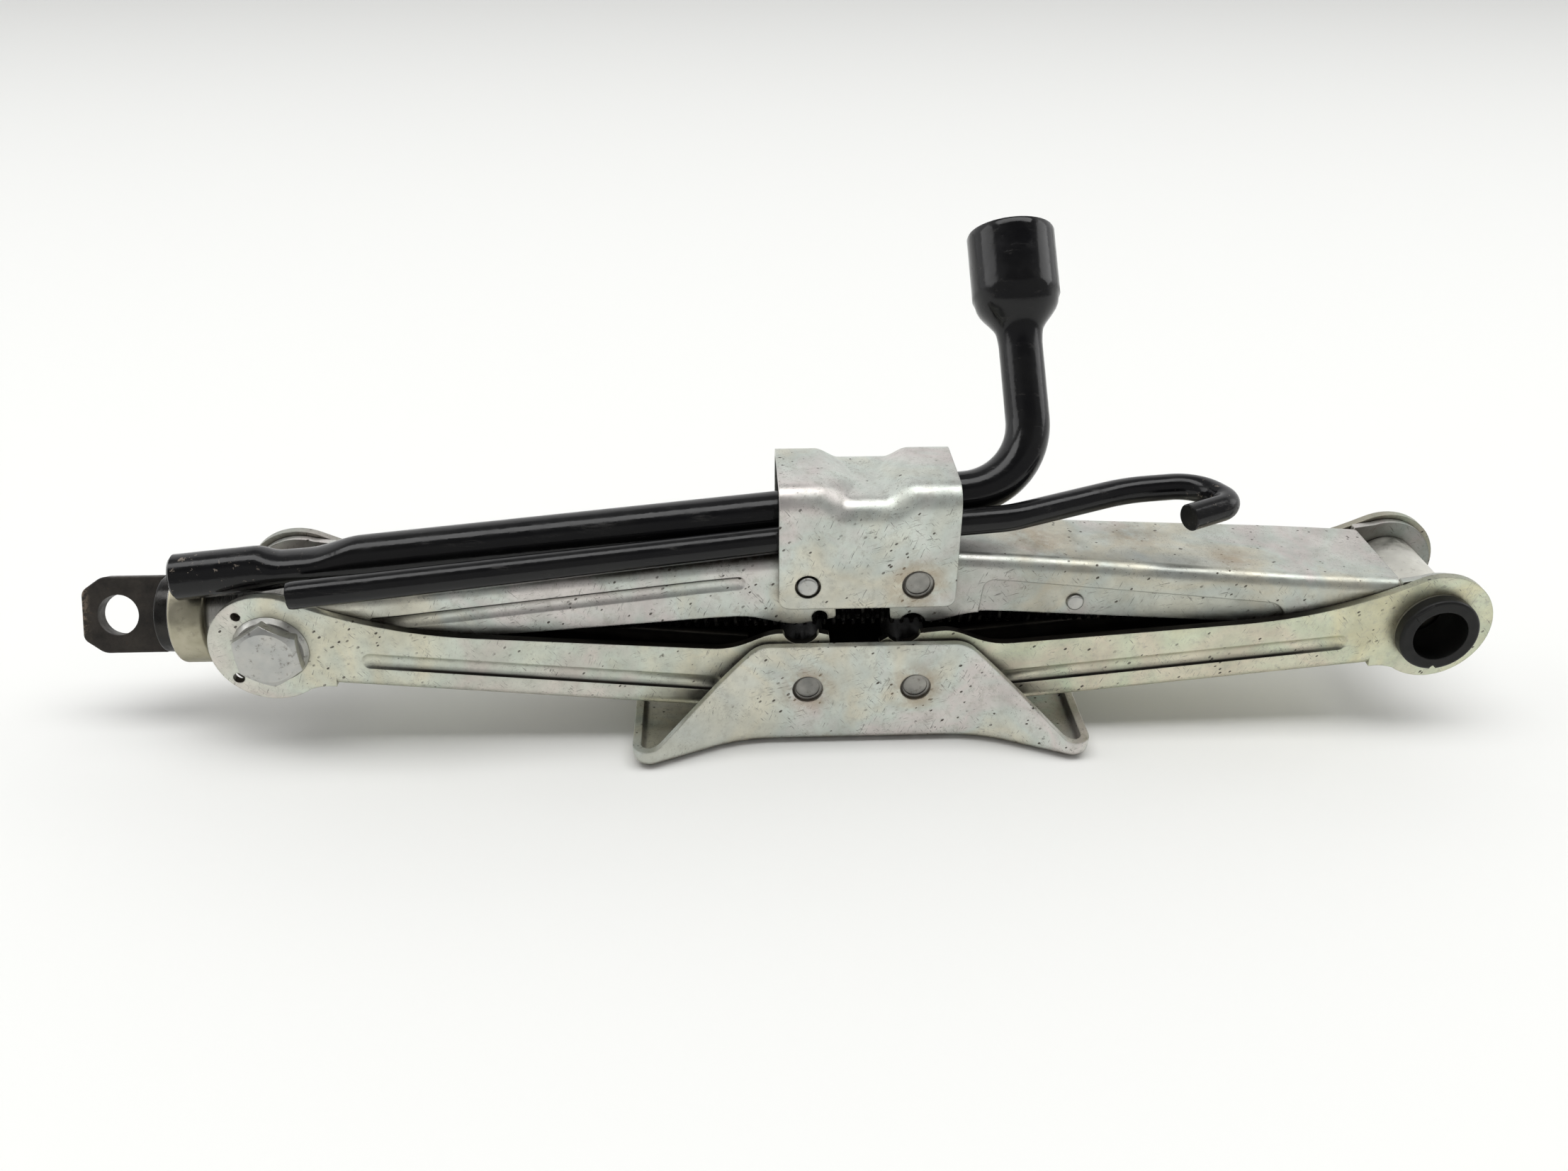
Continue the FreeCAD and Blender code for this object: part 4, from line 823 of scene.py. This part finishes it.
def valley_drop(x, y):
    """How far the saddle's top is pressed down at that place."""
    if y < VALLEY_WAIST_Y:
        edge, span = VALLEY_FRONT, -SADDLE_HALF - VALLEY_WAIST_Y
    else:
        edge, span = VALLEY_REAR, SADDLE_HALF - VALLEY_WAIST_Y
    share = min(1.0, max(0.0, (y - VALLEY_WAIST_Y) / span))
    floor, mouth, depth = (waist + (end - waist) * share for waist, end in zip(VALLEY_WAIST, edge))
    slope = min(1.0, max(0.0, (abs(x - VALLEY_X) - floor) / (mouth - floor)))
    creased = math.sin(slope * math.pi / 2)
    soft = smooth_step(slope)
    ease = smooth_step(share * VALLEY_EASE[0] - VALLEY_EASE[1])
    return depth * (1.0 - creased + (creased - soft) * ease)


def saddle_section():
    """(y, z) stations from the front bottom edge over the top to the rear bottom edge."""
    wall = []
    z = 0.0
    straight = SADDLE_TOP - SADDLE_BOTTOM - SADDLE_BEND_R
    while z < straight:
        wall.append((-SADDLE_HALF, SADDLE_BOTTOM + z))
        z += SADDLE_STEP if z > SADDLE_CORNER_R else SADDLE_STEP / 2
    bend = []
    for step in range(SADDLE_BEND_STEPS + 1):
        turn = math.pi / 2 * step / SADDLE_BEND_STEPS
        bend.append((-SADDLE_HALF + SADDLE_BEND_R * (1 - math.cos(turn)),
                     SADDLE_TOP - SADDLE_BEND_R * (1 - math.sin(turn))))
    flat = int((SADDLE_HALF - SADDLE_BEND_R) / SADDLE_STEP)
    top = []
    for step in range(1, flat + 1):
        top.append((-(SADDLE_HALF - SADDLE_BEND_R) * (1 - step / (flat + 1)), SADDLE_TOP))
    front = wall + bend + top
    return front + [(0.0, SADDLE_TOP)] + [(-y, z) for y, z in reversed(front)]


def saddle_sheet():
    """Outer skin of the saddle as (verts, faces)."""
    section = saddle_section()
    across = int(2 * SADDLE_LENGTH_HALF / SADDLE_STEP)
    verts = []
    for y, z in section:
        low = SADDLE_CORNER_R - (z - SADDLE_BOTTOM)
        pull = SADDLE_CORNER_R - math.sqrt(SADDLE_CORNER_R ** 2 - low ** 2) if low > 0 else 0.0
        fade = smooth_step((z - SADDLE_TOP + VALLEY_FADE[1]) / (VALLEY_FADE[1] - VALLEY_FADE[0]))
        for step in range(across + 1):
            x = SADDLE_X + (SADDLE_LENGTH_HALF - pull) * (2 * step / across - 1)
            verts.append((x, y, z - valley_drop(x, y) * fade))
    faces = []
    width = across + 1
    for row in range(len(section) - 1):
        for step in range(across):
            corner = row * width + step
            faces.append((corner, corner + 1, corner + width + 1, corner + width))
    return verts, faces


def cutter(name, radius, x, z):
    bpy.ops.mesh.primitive_cylinder_add(vertices=HOLE_STEPS, radius=radius * MM, depth=4 * SADDLE_HALF * MM,
                                        location=(x * MM, 0, z * MM), rotation=(math.pi / 2, 0, 0))
    tool = bpy.context.object
    tool.name = name
    return tool


def saddle_mesh(materials):
    verts, faces = saddle_sheet()
    obj = mesh_object("saddle_sheet", verts, faces, materials["zinc_steel"], "saddle")
    thick = obj.modifiers.new("thickness", "SOLIDIFY")
    thick.thickness = SADDLE_SHEET * MM
    thick.offset = -1.0
    thick.use_even_offset = True
    tools = [cutter("pin_hole", PIN_HOLE_R, -PIVOT_HALF, SADDLE_PIVOT_Z),
             cutter("rivet_hole", RIVET_HOLE_R, PIVOT_HALF, SADDLE_PIVOT_Z)]
    for tool in tools:
        hole = obj.modifiers.new(tool.name, "BOOLEAN")
        hole.operation = "DIFFERENCE"
        hole.solver = "EXACT"
        hole.object = tool
    graph = bpy.context.evaluated_depsgraph_get()
    finished = bpy.data.meshes.new_from_object(obj.evaluated_get(graph))
    obj.modifiers.clear()
    obj.data = finished
    for polygon in finished.polygons:
        polygon.use_smooth = True
    finished.set_sharp_from_angle(angle=math.radians(SHARP_ANGLE))
    for tool in tools:
        bpy.data.objects.remove(tool)
    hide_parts("saddle")


def build():
    materials = make_materials()
    dress_cad(materials)
    screw_mesh(materials)
    wrench_mesh(materials)
    rod_mesh(materials)
    saddle_mesh(materials)


add_camera()
add_lights()
add_world()
add_floor()
build()
